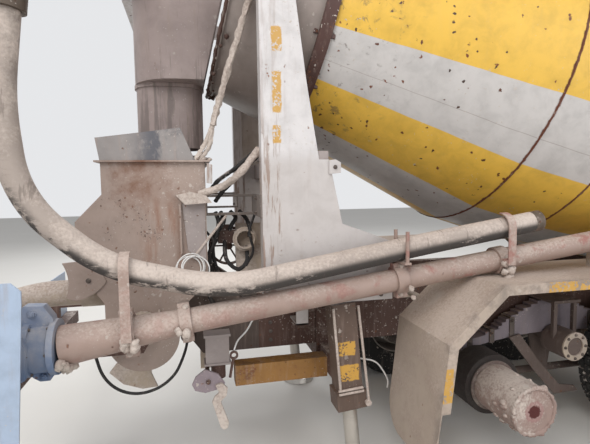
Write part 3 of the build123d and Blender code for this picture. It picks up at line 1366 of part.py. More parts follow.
# Saddles and arms that carry the delivery line
SADDLE_T = 12
SADDLE_W = 170
POST_ARM_X = -1640
POST_ARM_UP = 10
POST_ARM_DOWN = 40
WALL_ARM_X = -2960
WALL_ARM_DOWN = 50
GUARD_SADDLES = ((-150, PIPE_Y, pipe_z(-150)), (760, FRONT_PIPE_Y, FRONT_PIPE_Z))
CHASSIS_ARMS = (LENGTH_END_X - 2080, LENGTH_END_X - 1080)
CHASSIS_ARM_Z = 980
CHASSIS_ARM_H = 70
CHASSIS_ARM_L = 40
CHASSIS_ARM_TOP = 85
CHASSIS_ARM_FOOT = 60
with BuildPart() as pipe_brackets:
    with BuildSketch(at_x(POST_ARM_X)):
        with Locations(((PIPE_Y - PED_OUT_Y) / 2, pipe_z(POST_ARM_X) + (POST_ARM_UP - POST_ARM_DOWN) / 2)):
            Rectangle(-PED_OUT_Y - PIPE_Y, POST_ARM_UP + POST_ARM_DOWN)
    extrude(amount=SADDLE_T)
    with BuildSketch(at_x(WALL_ARM_X)):
        with Locations(((PIPE_Y - HOPPER_HALF_Y) / 2, pipe_z(WALL_ARM_X) - WALL_ARM_DOWN / 2)):
            Rectangle(-HOPPER_HALF_Y - PIPE_Y, WALL_ARM_DOWN)
    extrude(amount=SADDLE_T)
    for saddle_x, saddle_y, saddle_z in GUARD_SADDLES:
        with BuildSketch(at_x(saddle_x)):
            with Locations((saddle_y, (GUARD_TOP_Z + saddle_z) / 2)):
                Rectangle(SADDLE_W, saddle_z - GUARD_TOP_Z)
        extrude(amount=SADDLE_T)
    with BuildSketch(pipe_plane(WALL_ARM_X - SADDLE_T)):
        Circle(PIPE_R + TOUCH + (pipe_join_x - WALL_ARM_X + SADDLE_T) * CONE_SLOPE)
    extrude(amount=4 * SADDLE_T, mode=Mode.SUBTRACT)
    with BuildSketch(pipe_plane(POST_ARM_X - SADDLE_T)):
        Circle(PIPE_R + TOUCH)
    extrude(amount=PIPE_BEND_X - POST_ARM_X, mode=Mode.SUBTRACT)
    for arm_x in CHASSIS_ARMS:
        with BuildSketch(at_x(arm_x)):
            with BuildLine():
                Polyline(
                    (-RAIL_OUT_Y, CHASSIS_ARM_Z),
                    (FRONT_PIPE_Y - CHASSIS_ARM_FOOT, CHASSIS_ARM_Z),
                    (FRONT_PIPE_Y - CHASSIS_ARM_TOP, FRONT_PIPE_Z),
                    (FRONT_PIPE_Y + CHASSIS_ARM_TOP, FRONT_PIPE_Z),
                    (FRONT_PIPE_Y + CHASSIS_ARM_FOOT, CHASSIS_ARM_Z + CHASSIS_ARM_H),
                    (-RAIL_OUT_Y, CHASSIS_ARM_Z + CHASSIS_ARM_H),
                    close=True,
                )
            make_face()
        extrude(amount=CHASSIS_ARM_L)
    with BuildSketch(at_x(GUARD_SADDLES[1][0] - SADDLE_T)):
        with Locations((FRONT_PIPE_Y, FRONT_PIPE_Z)):
            Circle(PIPE_R + TOUCH)
    extrude(amount=LENGTH_END_X - GUARD_SADDLES[1][0], mode=Mode.SUBTRACT)
pipe_brackets.part.label = "pipe_brackets"
export_step(pipe_brackets.part, "parts/pipe_brackets.step")

# Rear jacks: cross beam, leaning legs and rods with their pads
jack_beam_mid_z = JACK_BEAM_Z + JACK_BEAM_H / 2
jack_beam_x = leg_x(jack_beam_mid_z)
with BuildPart() as jack_beam:
    with BuildSketch(at_y(0)):
        with Locations((jack_beam_x, jack_beam_mid_z)):
            Rectangle(JACK_BEAM_W, JACK_BEAM_H)
            Rectangle(JACK_BEAM_W - 2 * LEG_T, JACK_BEAM_H - 2 * LEG_T, mode=Mode.SUBTRACT)
    extrude(amount=JACK_Y - LEG_W / 2, both=True)
    for side in (-1, 1):
        with BuildSketch(at_y(side * RAIL_OUT_Y)):
            with Locations((jack_beam_x, (JACK_BEAM_Z + RAIL_TOP) / 2)):
                Rectangle(JACK_PLATE_W, RAIL_TOP - JACK_BEAM_Z - 2 * JACK_PLATE_SHORT)
        extrude(amount=-side * JACK_PLATE_T)
jack_beam.part.label = "jack_beam"
export_step(jack_beam.part, "parts/jack_beam.step")


def leg_plane(z, y):
    """Plane across the leaning leg at height z. Local x is X and it faces up along the leg."""
    across = (math.cos(LEAN), 0, math.sin(LEAN))
    along = (-math.sin(LEAN), 0, math.cos(LEAN))
    return Plane(origin=(leg_x(z), y, z), x_dir=across, z_dir=along)


leg_length = (LEG_TOP_Z - LEG_BOTTOM_Z) / math.cos(LEAN)
with BuildPart() as rear_jack_legs:
    for side in (-1, 1):
        with BuildSketch(leg_plane(LEG_BOTTOM_Z, side * JACK_Y)):
            Rectangle(LEG_W, LEG_W)
            Rectangle(LEG_W - 2 * LEG_T, LEG_W - 2 * LEG_T, mode=Mode.SUBTRACT)
        extrude(amount=leg_length)
        with BuildSketch(leg_plane(LEG_TOP_Z, side * JACK_Y)):
            Rectangle(LEG_W, LEG_W)
        extrude(amount=-LEG_T)
        with BuildSketch(leg_plane(LEG_BOTTOM_Z, side * JACK_Y)):
            Rectangle(COLLAR_W, LEG_W)
            Circle(JACK_ROD_R + JACK_ROD_GAP, mode=Mode.SUBTRACT)
        extrude(amount=-COLLAR_H)
rear_jack_legs.part.label = "rear_jack_legs"
export_step(rear_jack_legs.part, "parts/rear_jack_legs.step")

for side_name, side in SIDES:
    with BuildPart() as jack_rod:
        with BuildSketch(Plane.XY):
            with Locations((REAR_JACK_FOOT_X, side * JACK_Y)):
                Circle(PAD_R)
        extrude(amount=PAD_H, taper=PAD_TAPER)
        with BuildSketch(leg_plane(PAD_H - ROD_SUNK, side * JACK_Y)):
            Circle(JACK_ROD_R)
        extrude(amount=LEG_BOTTOM_Z + ROD_GUIDED - PAD_H)
    jack_rod.part.label = f"rear_jack_rod_{side_name}"
    export_step(jack_rod.part, f"parts/rear_jack_rod_{side_name}.step")

# Front outriggers: two cross tubes under the rails, a beam in each, and a jack on each beam's end
OUT_Z = RAIL_Z - OUTRIGGER_H
with BuildPart() as outrigger_tubes:
    with BuildSketch(at_y(0)):
        for tube_x in OUTRIGGER_X:
            with Locations((tube_x, OUT_Z + OUTRIGGER_H / 2)):
                Rectangle(OUTRIGGER_W, OUTRIGGER_H)
                Rectangle(OUTRIGGER_W - 2 * OUTRIGGER_T, OUTRIGGER_H - 2 * OUTRIGGER_T, mode=Mode.SUBTRACT)
        with Locations(((OUTRIGGER_X[0] + OUTRIGGER_X[1]) / 2, OUT_Z + OUTRIGGER_H / 2)):
            Rectangle(OUTRIGGER_X[1] - OUTRIGGER_X[0] - OUTRIGGER_W, OUTRIGGER_H)
    extrude(amount=OUTRIGGER_TUBE_Y, both=True)
outrigger_tubes.part.label = "outrigger_tubes"
export_step(outrigger_tubes.part, "parts/outrigger_tubes.step")

BEAM_W = OUTRIGGER_W - 2 * OUTRIGGER_T - 2 * OUTRIGGER_GAP
BEAM_H = OUTRIGGER_H - 2 * OUTRIGGER_T - 2 * OUTRIGGER_GAP
for (side_name, side), beam_x in zip(SIDES, OUTRIGGER_X):
    with BuildPart() as beam:
        with BuildSketch(at_y(side * FRONT_LEG_Y)):
            with Locations((beam_x, OUT_Z + OUTRIGGER_H / 2)):
                Rectangle(BEAM_W, BEAM_H)
                Rectangle(BEAM_W - 2 * BEAM_WALL, BEAM_H - 2 * BEAM_WALL, mode=Mode.SUBTRACT)
        extrude(amount=side * (FRONT_LEG_Y + BEAM_PAST_MIDDLE))
        with BuildSketch(Plane.XY.offset(OUT_Z - FRONT_LEG_DOWN)):
            with Locations((beam_x, side * FRONT_LEG_Y)):
                Rectangle(LEG_W, LEG_W)
        extrude(amount=FRONT_LEG_H)
        with BuildSketch(Plane.XY.offset(OUT_Z - FRONT_LEG_DOWN - 1)):
            with Locations((beam_x, side * FRONT_LEG_Y)):
                Circle(JACK_ROD_R + JACK_ROD_GAP)
        extrude(amount=FRONT_LEG_BORE_H, mode=Mode.SUBTRACT)
    beam.part.label = f"outrigger_beam_{side_name}"
    export_step(beam.part, f"parts/outrigger_beam_{side_name}.step")
    with BuildPart() as front_rod:
        with BuildSketch(Plane.XY):
            with Locations((beam_x, side * FRONT_LEG_Y)):
                Circle(FRONT_PAD_R)
        extrude(amount=PAD_H, taper=PAD_TAPER)
        with BuildSketch(Plane.XY.offset(PAD_H - FRONT_ROD_SUNK)):
            with Locations((beam_x, side * FRONT_LEG_Y)):
                Circle(JACK_ROD_R)
        extrude(amount=OUT_Z + FRONT_LEG_DOWN)
    front_rod.part.label = f"front_jack_rod_{side_name}"
    export_step(front_rod.part, f"parts/front_jack_rod_{side_name}.step")

# Rear under-run bar with its arms, lamp boards and lamps
BAR_Z = 620
BAR_H = 100
BAR_REAR_X = -3940
BOARD_T = 8
BAR_L = 100
BAR_FRONT_X = BAR_REAR_X + BOARD_T + BAR_L
BAR_HALF_Y = 1210
BAR_ARM_W = 50
BOARD_Y = BAR_HALF_Y + 12
BOARD_W = 420
BOARD_LOW_Z = 640
# Side of the hopper's bar arm. Columns: X and Z of its corners, from the bar's rear up and round
BAR_ARM_ROWS = (
    (BAR_REAR_X + BOARD_T + 1, BAR_Z + BAR_H - 20),
    (BAR_REAR_X + BOARD_T + 1, 1003),
    (-2990, 1003),
    (-3050, 905),
    (BAR_FRONT_X - 1, 905),
    (BAR_FRONT_X - 1, BAR_Z + BAR_H - 20),
)
# Side plate of the right lamp board. Columns: X and Z of its corners
BOARD_ROWS = (
    (BAR_REAR_X, 560),
    (BAR_REAR_X, 1474),
    (-3526, 1474),
    (-3486, 1435),
    (-3488, 1374),
    (-3545, 560),
)
# Rear panels of the lamp boards. Columns: side, height of the panel's top
PANEL_ROWS = ((-1, 1310), (1, 1100))
LAMP_IN = 202
LAMP_Z = 1000
LAMP_W = 360
LAMP_H = 130
LAMP_CORNER_R = 20
LAMP_D = 38
with BuildPart() as underrun_bar:
    with BuildSketch(at_y(0)):
        with Locations((BAR_FRONT_X - BAR_L / 2, BAR_Z + BAR_H / 2)):
            Rectangle(BAR_L, BAR_H)
    extrude(amount=BAR_HALF_Y, both=True)
    for side in (-1, 1):
        with BuildSketch(at_y(side * HOPPER_HALF_Y)):
            with BuildLine():
                Polyline(*BAR_ARM_ROWS, close=True)
            make_face()
        extrude(amount=-side * BAR_ARM_W)
underrun_bar.part.label = "underrun_bar"
export_step(underrun_bar.part, "parts/underrun_bar.step")

with BuildPart() as lamp_boards:
    with BuildSketch(at_y(-BOARD_Y)):
        with BuildLine():
            Polyline(*BOARD_ROWS, close=True)
        make_face()
    extrude(amount=-BOARD_T)
    for side, panel_top in PANEL_ROWS:
        with BuildSketch(at_x(BAR_REAR_X)):
            with Locations((side * (BOARD_Y - BOARD_W / 2), (BOARD_LOW_Z + panel_top) / 2)):
                Rectangle(BOARD_W, panel_top - BOARD_LOW_Z)
        extrude(amount=BOARD_T)
lamp_boards.part.label = "lamp_boards"
export_step(lamp_boards.part, "parts/lamp_boards.step")

with BuildPart() as tail_lamps:
    for side in (-1, 1):
        with BuildSketch(at_x(BAR_REAR_X)):
            with Locations((side * (BOARD_Y - LAMP_IN), LAMP_Z)):
                RectangleRounded(LAMP_W, LAMP_H, LAMP_CORNER_R)
        extrude(amount=-LAMP_D)
tail_lamps.part.label = "tail_lamps"
export_step(tail_lamps.part, "parts/tail_lamps.step")

# Yellow bars beside the chassis, ahead of the hopper
SIDE_BAR_REAR_X = -2510
SIDE_BAR_Y = 560
SIDE_BAR_Z = 690
SIDE_BAR_W = 110
SIDE_BAR_H = 130
SIDE_BAR_WALL = 8
with BuildPart() as side_bars:
    for side in (-1, 1):
        with BuildSketch(at_x(SIDE_BAR_REAR_X)):
            with Locations((side * SIDE_BAR_Y, SIDE_BAR_Z)):
                Rectangle(SIDE_BAR_W, SIDE_BAR_H)
                Rectangle(SIDE_BAR_W - 2 * SIDE_BAR_WALL, SIDE_BAR_H - 2 * SIDE_BAR_WALL, mode=Mode.SUBTRACT)
        extrude(amount=jack_beam_x - JACK_BEAM_W / 2 - SIDE_BAR_REAR_X)
side_bars.part.label = "side_bars"
export_step(side_bars.part, "parts/side_bars.step")
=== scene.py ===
import json
import math
import random
from functools import partialmethod

import bmesh
import bpy
from mathutils import Matrix, Vector, noise


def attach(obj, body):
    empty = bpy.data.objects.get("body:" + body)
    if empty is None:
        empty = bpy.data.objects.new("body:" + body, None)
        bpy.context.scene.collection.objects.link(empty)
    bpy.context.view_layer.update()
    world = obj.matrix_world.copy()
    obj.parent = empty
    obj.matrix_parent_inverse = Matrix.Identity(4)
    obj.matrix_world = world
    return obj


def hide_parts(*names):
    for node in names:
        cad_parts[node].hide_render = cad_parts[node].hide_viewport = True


# Looks of the rear working end of a concrete mixer pump truck. Metres, in the frame of the CAD part.

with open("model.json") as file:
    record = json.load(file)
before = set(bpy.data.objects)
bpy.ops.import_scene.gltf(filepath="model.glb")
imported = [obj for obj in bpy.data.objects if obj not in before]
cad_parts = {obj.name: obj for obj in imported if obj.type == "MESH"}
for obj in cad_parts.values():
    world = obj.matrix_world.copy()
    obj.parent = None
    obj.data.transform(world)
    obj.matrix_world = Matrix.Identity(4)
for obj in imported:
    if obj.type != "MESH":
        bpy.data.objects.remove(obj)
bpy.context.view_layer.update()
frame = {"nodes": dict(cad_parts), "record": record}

# Photograph's camera. It looks along Y, turned right by its yaw and down by its pitch
CAMERA_AT = Vector((-2.75, -3.38, 1.88))
CAMERA_YAW = math.radians(13.0)
CAMERA_PITCH = math.radians(4.6)
CAMERA_ROLL = math.radians(-0.8)
FOCAL_PX = 450
IMAGE_W = 590
SENSOR_MM = 36.0
CLIP_END = 200

# Drum's axis
DRUM_AT = Vector((-0.513, 0.0, 2.751))
DRUM_TILT = math.radians(13.33)
DRUM_ALONG = Vector((math.cos(DRUM_TILT), 0, -math.sin(DRUM_TILT)))
DRUM_UP = Vector((math.sin(DRUM_TILT), 0, math.cos(DRUM_TILT)))

# Places of the CAD part that the pieces follow. The right side is the one with negative Y
RIGHT_OUT = Vector((0, -1, 0))
LEFT_OUT = Vector((0, 1, 0))
WHEEL_Z = 0.52
REAR_AXLE_X = -0.8
FRONT_AXLE_X = 0.6
TWIN_MIDDLE = 0.92
TWIN_OFFSET = 0.172
TRUNNION_X = -0.1
TRUNNION_Z = 0.703
RAIL_FACE = 0.43
LEG_FACE = 0.872
PIPE_Y = -0.965
PIPE_START_X = -3.4
PIPE_START_Z = 1.095
PIPE_RISE = math.tan(math.radians(7.07))
RIDING_RING_S = -1.4
HUB_END_Y = -1.186


def place_camera():
    """Puts the camera where the photograph was taken from."""
    level = Matrix.Rotation(-CAMERA_YAW, 4, "Z") @ Matrix.Rotation(math.pi / 2, 4, "X")
    tilt = Matrix.Rotation(-CAMERA_PITCH, 4, "X") @ Matrix.Rotation(CAMERA_ROLL, 4, "Z")
    data = bpy.data.cameras.new("camera")
    data.sensor_width = SENSOR_MM
    data.lens = FOCAL_PX / IMAGE_W * SENSOR_MM
    data.clip_end = CLIP_END
    camera = bpy.data.objects.new("camera", data)
    camera.matrix_world = Matrix.Translation(CAMERA_AT) @ level @ tilt
    bpy.context.scene.collection.objects.link(camera)
    bpy.context.scene.camera = camera


def area_light(name, at, target, size, power, color):
    """Square soft light at one point, facing another."""
    data = bpy.data.lights.new(name, "AREA")
    data.size = size
    data.energy = power
    data.color = color
    light = bpy.data.objects.new(name, data)
    light.location = at
    light.rotation_euler = (Vector(target) - Vector(at)).to_track_quat("-Z", "Y").to_euler()
    bpy.context.scene.collection.objects.link(light)


place_camera()
bpy.context.scene.view_settings.view_transform = "Standard"

# Columns: name, place, target, size, power, colour
LIGHTS = (
    ("key", (-7.5, -8.5, 9.5), (-1.5, 0, 1.6), 7.0, 980, (1.0, 0.985, 0.96)),
    ("fill", (3.5, -10.0, 5.0), (-0.5, 0, 1.6), 8.0, 400, (0.96, 0.98, 1.0)),
    ("back", (-2.0, 9.5, 8.5), (-0.5, 0, 1.6), 8.0, 620, (0.98, 0.99, 1.0)),
    ("top", (0.0, 0.0, 12.0), (0, 0, 0), 10.0, 400, (1.0, 1.0, 1.0)),
)
for light_row in LIGHTS:
    area_light(*light_row)

# Strength of the world's light on the truck, and of the pale background that the camera and metal see
WORLD_LIGHT = 0.46
WORLD_SEEN = 0.88
WORLD_COLOR = (0.90, 0.91, 0.93, 1)
world = bpy.data.worlds.new("world")
world.use_nodes = True
world_nodes, world_links = world.node_tree.nodes, world.node_tree.links
background = world_nodes["Background"]
background.inputs["Color"].default_value = WORLD_COLOR
ray = world_nodes.new("ShaderNodeLightPath")
seen = ray.outputs["Is Camera Ray"]
for kind in ("Is Glossy Ray", "Is Transmission Ray"):
    either = world_nodes.new("ShaderNodeMath")
    either.operation = "MAXIMUM"
    world_links.new(seen, either.inputs[0])
    world_links.new(ray.outputs[kind], either.inputs[1])
    seen = either.outputs[0]
strength = world_nodes.new("ShaderNodeMapRange")
strength.inputs["To Min"].default_value = WORLD_LIGHT
strength.inputs["To Max"].default_value = WORLD_SEEN
world_links.new(seen, strength.inputs["Value"])
world_links.new(strength.outputs["Result"], background.inputs["Strength"])
bpy.context.scene.world = world


# Materials


def rgb(red, green, blue):
    """Scene-linear colour from the values 0 to 255 that a picture shows."""
    parts = []
    for value in (red, green, blue):
        share = value / 255
        parts.append(share / 12.92 if share <= 0.04045 else ((share + 0.055) / 1.055) ** 2.4)
    return (*parts, 1)


DUST_PALE = rgb(201, 189, 180)
DUST_BROWN = rgb(158, 141, 132)
CEMENT = rgb(186, 178, 170)
RUST_DARK = rgb(66, 38, 28)
RUST_ORANGE = rgb(132, 84, 56)
# WARNING_YELLOW is darkened to the tape's tone in shade: painted shade on the yellow tape marks
WARNING_YELLOW = rgb(196, 150, 64)
GRIME = (0.02, 0.018, 0.016, 1)
BUMP_DEPTH = 0.004
BEVEL_SAMPLES = 4


class Graph:
    """A material's node tree, with short calls for the nodes that the materials share."""

    def __init__(self, name):
        self.mat = bpy.data.materials.new(name)
        self.mat.use_nodes = True
        self.tree = self.mat.node_tree
        self.tree.nodes.clear()
        self.coord = self.node("TexCoord").outputs["Object"]
        normal = self.node("NewGeometry").outputs["Normal"]
        self.up = self.node("SeparateXYZ", {0: normal}).outputs["Z"]

    def node(self, kind, inputs=(), **settings):
        """New node with its settings, and with values or links for its inputs by name or number."""
        node = self.tree.nodes.new("ShaderNode" + kind)
        for name, value in settings.items():
            setattr(node, name, value)
        for name, value in dict(inputs).items():
            if isinstance(value, bpy.types.NodeSocket):
                self.tree.links.new(value, node.inputs[name])
            else:
                node.inputs[name].default_value = value
        return node

    def calc(self, operation, a, b=0.0):
        return self.node("Math", {0: a, 1: b}, operation=operation).outputs[0]

    times = partialmethod(calc, "MULTIPLY")
    plus = partialmethod(calc, "ADD")
    minus = partialmethod(calc, "SUBTRACT")
    most = partialmethod(calc, "MAXIMUM")

    def moved(self, scale=(1, 1, 1), at=(0, 0, 0), turn=(0, 0, 0), kind="POINT"):
        """Coordinates moved, turned and scaled."""
        inputs = {"Vector": self.coord, "Location": at, "Rotation": turn, "Scale": scale}
        return self.node("Mapping", inputs, vector_type=kind).outputs[0]

    def noise(self, scale, detail, rough, vector=None, distort=0.0, output="Fac"):
        inputs = {"Vector": vector or self.coord, "Scale": scale, "Detail": detail}
        inputs |= {"Roughness": rough, "Distortion": distort}
        return self.node("TexNoise", inputs).outputs[output]

    def warped(self, scale, amount):
        """Coordinates pushed about by a noise, so that what uses them has uneven outlines."""
        push = self.noise(scale, 3.0, 0.5, output="Color")
        inputs = {0: push, 1: (amount, amount, amount), 2: self.coord}
        return self.node("VectorMath", inputs, operation="MULTIPLY_ADD").outputs[0]

    def axis(self, name):
        """Coordinate along X, Y or Z."""
        return self.node("SeparateXYZ", {0: self.coord}).outputs[name]

    def patch(self, low, high, soft=0.02, ragged=0.03):
        """Share that is 1 inside a ragged box, given by its corners' X and Z, and 0 outside."""
        wobble = self.times(self.minus(self.noise(24.0, 4, 0.6), 0.5), 2 * ragged)
        share = None
        for name, near, far in (("X", low[0], high[0]), ("Z", low[1], high[1])):
            at = self.plus(self.axis(name), wobble)
            past_near = self.step(at, near - soft, near + soft)
            inside = self.times(past_near, self.step(at, far + soft, far - soft))
            share = inside if share is None else self.times(share, inside)
        return share

    def cells(self, scale, vector):
        """Distance from a random cell's middle, and two random values for the cell."""
        node = self.node("TexVoronoi", {"Vector": vector, "Scale": scale})
        split = self.node("SeparateColor", {0: node.outputs["Color"]})
        return node.outputs["Distance"], split.outputs[0], split.outputs[1]

    def step(self, value, low, high, to_low=0.0, to_high=1.0):
        """Smooth change from one value to another as the input goes from low to high."""
        inputs = {"Value": value, "From Min": low, "From Max": high, "To Min": to_low, "To Max": to_high}
        return self.node("MapRange", inputs, interpolation_type="SMOOTHSTEP").outputs["Result"]

    def mix(self, share, a, b, blend="MIX"):
        """Mix of two colours."""
        inputs = {"Factor": share, 6: a, 7: b}
        return self.node("Mix", inputs, data_type="RGBA", blend_type=blend).outputs[2]

    def blend(self, share, a, b):
        """Mix of two numbers."""
        return self.plus(self.times(a, self.minus(1.0, share)), self.times(b, share))

    def finish(self, color, rough, height, metallic=0.0, strength=0.6, edge=0.003):
        """Joins all to the material's surface. edge is the radius drawn on sharp edges."""
        bump = {"Strength": strength, "Distance": BUMP_DEPTH, "Height": height}
        if edge:
            bump["Normal"] = self.node("Bevel", {"Radius": edge}, samples=BEVEL_SAMPLES).outputs[0]
        surface = {"Base Color": color, "Roughness": rough, "Metallic": metallic}
        surface["Normal"] = self.node("Bump", bump).outputs[0]
        self.node("OutputMaterial", {0: self.node("BsdfPrincipled", surface).outputs[0]})
        return self.mat


MATS = {}


def coated(
    name, base, dust, rust, splat, top=0.5, rough=0.5, metallic=0.0, streak=0.35, crust=0.5, edge=0.003,
    dusts=(DUST_PALE, DUST_BROWN), paint=None, marks=None,
):
    """Makes a material: paint or metal under rust, run-off streaks, dried concrete dust and splashes.

    The shares of dust, rust, splashes and streaks go from 0 to 1. paint draws the colour in place of base,
    and marks draws over the rest.
    """
    dust_color, dust_second = dusts
    g = Graph(name)
    large = g.noise(1.6, 5, 0.6)
    middle = g.noise(8.0, 5, 0.62, distort=0.3)
    fine = g.noise(70.0, 3, 0.6)
    grain = g.noise(420.0, 2, 0.5)
    loose = g.warped(34.0, 0.035)
    runs = g.noise(6.0, 4, 0.6, vector=g.moved(scale=(5.0, 5.0, 0.5)))
    color = paint(g) if paint else base
    grimy = g.mix(0.55, color, GRIME, "MULTIPLY")
    color = g.mix(g.step(middle, 0.35, 0.75, 0.0, 0.35), color, grimy)
    color = g.mix(g.times(g.step(runs, 0.5, 0.8), streak), color, DUST_BROWN)
    bare = rough
    height = g.times(fine, 0.12)
    if rust > 0:
        spots = g.plus(g.times(middle, 0.55), g.times(fine, 0.45))
        eaten = g.step(spots, 0.66 - 0.16 * rust, 0.72 - 0.12 * rust)
        specks_at, specks_pick, _ = g.cells(30.0, loose)
        picked = g.step(specks_pick, 1.0 - 0.32 * rust, 1.02 - 0.32 * rust)
        specks = g.times(g.step(specks_at, 0.30, 0.10), picked)
        eaten = g.most(eaten, g.times(specks, 0.8))
        color = g.mix(eaten, color, g.mix(g.step(fine, 0.35, 0.65), RUST_DARK, RUST_ORANGE))
        bare = g.blend(eaten, bare, 0.88)
        height = g.minus(height, g.times(eaten, 0.15))
    cover = g.plus(g.times(large, 0.45), g.times(middle, 0.4))
    cover = g.plus(cover, g.times(fine, 0.15))
    cover = g.plus(cover, g.times(g.up, 0.16 * top))
    cover = g.step(cover, 0.80 - 0.62 * dust, 0.94 - 0.55 * dust)
    clouds = g.plus(g.times(large, 0.5), g.times(fine, 0.5))
    tone = g.mix(g.step(clouds, 0.36, 0.64), dust_second, dust_color)
    color = g.mix(g.times(cover, 0.92), color, tone)
    height = g.plus(height, g.times(g.times(cover, fine), 0.7 * crust))
    if splat > 0:
        for cell_scale, share in ((26.0, 0.5), (75.0, 0.9)):
            away, pick, _ = g.cells(cell_scale, loose)
            away = g.plus(away, g.times(g.minus(fine, 0.5), 0.5))
            least = 1.0 - 0.6 * splat * share
            drop = g.times(g.step(away, 0.34, 0.2), g.step(pick, least, least + 0.02))
            drop = g.times(drop, g.step(large, 0.40, 0.60))
            color = g.mix(drop, color, g.mix(fine, CEMENT, dust_color))
            height = g.plus(height, g.times(drop, 0.6))
            bare = g.blend(drop, bare, 0.95)
    if marks:
        color = marks(g, color, middle, fine)
    height = g.plus(height, g.times(grain, 0.1))
    MATS[name] = g.finish(color, g.blend(cover, bare, 0.94), height, metallic=metallic, edge=edge)


STRIPE_TURN = 120.0
STRIPE_FIRST = -18.0
# Columns: first and last angle of a white band, upward from the lower edge of a wide yellow one
WHITE_BANDS = ((50.0, 73.0), (97.0, 120.0))
STRIPE_SOFT = 0.12
PAINT_YELLOW = rgb(226, 182, 74)
PAINT_WHITE = rgb(198, 194, 192)
WELD_PLACES = (0.0, 0.52, 1.7)
LONG_SEAM_AT = 32.0
WELD_BROWN = rgb(92, 44, 26)
MOUTH_GREY = rgb(150, 138, 132)


def drum_coords(g):
    """Distance along the drum's axis, and degrees around it from the right side, negative downward."""
    local = g.moved(at=DRUM_AT, turn=(0, DRUM_TILT, 0), kind="TEXTURE")
    split = g.node("SeparateXYZ", {0: local})
    rightward = g.times(split.outputs["Y"], -1.0)
    angle = g.times(g.calc("ARCTAN2", split.outputs["Z"], rightward), 180 / math.pi)
    angle = g.plus(angle, g.times(g.minus(g.noise(3.0, 3, 0.5), 0.5), 0.8))
    return split.outputs["X"], angle


def drum_paint(g):
    """Yellow and white bands along the drum, rusty weld seams around it, and dark specks."""
    along, angle = drum_coords(g)
    turn = g.plus(g.minus(angle, STRIPE_FIRST), 4 * STRIPE_TURN)
    turn = g.calc("MODULO", turn, STRIPE_TURN)
    white = None
    for low, high in WHITE_BANDS:
        band = g.step(turn, low - STRIPE_SOFT, low + STRIPE_SOFT)
        band = g.times(band, g.step(turn, high + STRIPE_SOFT, high - STRIPE_SOFT))
        white = band if white is None else g.most(white, band)
    color = g.mix(white, PAINT_YELLOW, PAINT_WHITE)
    wobble = g.times(g.minus(g.noise(22.0, 4, 0.6), 0.5), 0.03)
    seams = None
    for place in WELD_PLACES:
        gap = g.calc("ABSOLUTE", g.plus(g.minus(along, place), wobble))
        seam = g.step(gap, 0.013, 0.004)
        seams = seam if seams is None else g.most(seams, seam)
    long_seam = g.step(g.calc("ABSOLUTE", g.plus(angle, LONG_SEAM_AT)), 0.16, 0.05)
    seams = g.most(seams, g.times(long_seam, 0.35))
    color = g.mix(seams, color, WELD_BROWN)
    away, pick, second = g.cells(24.0, g.warped(28.0, 0.04))
    away = g.plus(away, g.times(g.minus(g.noise(60.0, 3, 0.6), 0.5), 0.5))
    near_ring = g.step(along, 0.2, -1.3)
    least = g.minus(0.965, g.times(near_ring, 0.22))
    speck = g.times(g.step(away, 0.27, 0.16), g.calc("GREATER_THAN", pick, least))
    color = g.mix(speck, color, g.mix(second, rgb(52, 38, 32), rgb(120, 62, 34)))
    smear = g.noise(14.0, 6, 0.7, distort=0.6)
    dirty = g.times(g.step(smear, 0.56, 0.66), g.step(along, -0.7, -1.38))
    color = g.mix(g.times(dirty, 0.75), color, rgb(94, 82, 74))
    return g.mix(g.step(along, -1.41, -1.44), color, MOUTH_GREY)


def yellow_patches(*boxes, outside=0.0):
    """Marks of worn yellow paint in boxes given by the X and Z of two corners, where Y is below -outside."""

    def marks(g, color, middle, fine):
        for low, high in boxes:
            scratch = g.plus(g.times(middle, 0.5), g.times(fine, 0.5))
            worn = g.times(g.patch(low, high, soft=0.004, ragged=0.012), g.step(scratch, 0.575, 0.52))
            worn = g.times(worn, g.step(g.axis("Y"), 0.001 - outside, -0.001 - outside))
            color = g.mix(g.times(worn, 0.92), color, WARNING_YELLOW)
        return color

    return marks


POST_YELLOW = yellow_patches(
    ((-2.289, 2.630), (-2.231, 2.761)), ((-2.289, 2.293), (-2.237, 2.520)), ((-2.289, 2.121), (-2.243, 2.220))
)
LEG_YELLOW = yellow_patches(((-1.915, 0.855), (-1.809, 0.939)), ((-1.908, 0.696), (-1.784, 0.796)))
GUARD_YELLOW = yellow_patches(
    ((-0.78, 1.240), (-0.47, 1.315)), ((-1.445, 0.68), (-1.38, 0.87)), outside=1.2485
)


def post_marks(g, color, middle, fine):
    """Yellow tape's remains on the post, greyer and stained below its step, more so along its rear edge."""
    low = g.step(g.axis("Z"), 2.10, 1.98, 0.0, 0.55)
    color = g.mix(low, color, g.mix(g.step(middle, 0.35, 0.65), rgb(158, 148, 142), rgb(190, 182, 178)))
    runs = g.noise(10.0, 5, 0.7, vector=g.moved(scale=(4.0, 4.0, 0.35)))
    rear = g.step(g.axis("X"), -2.20, -2.285, 0.0, 0.2)
    stained = g.times(g.step(g.plus(runs, rear), 0.68, 0.78), g.step(g.axis("Z"), 2.4, 1.9, 0.2, 0.7))
    color = g.mix(stained, color, rgb(134, 104, 84))
    return POST_YELLOW(g, color, middle, fine)


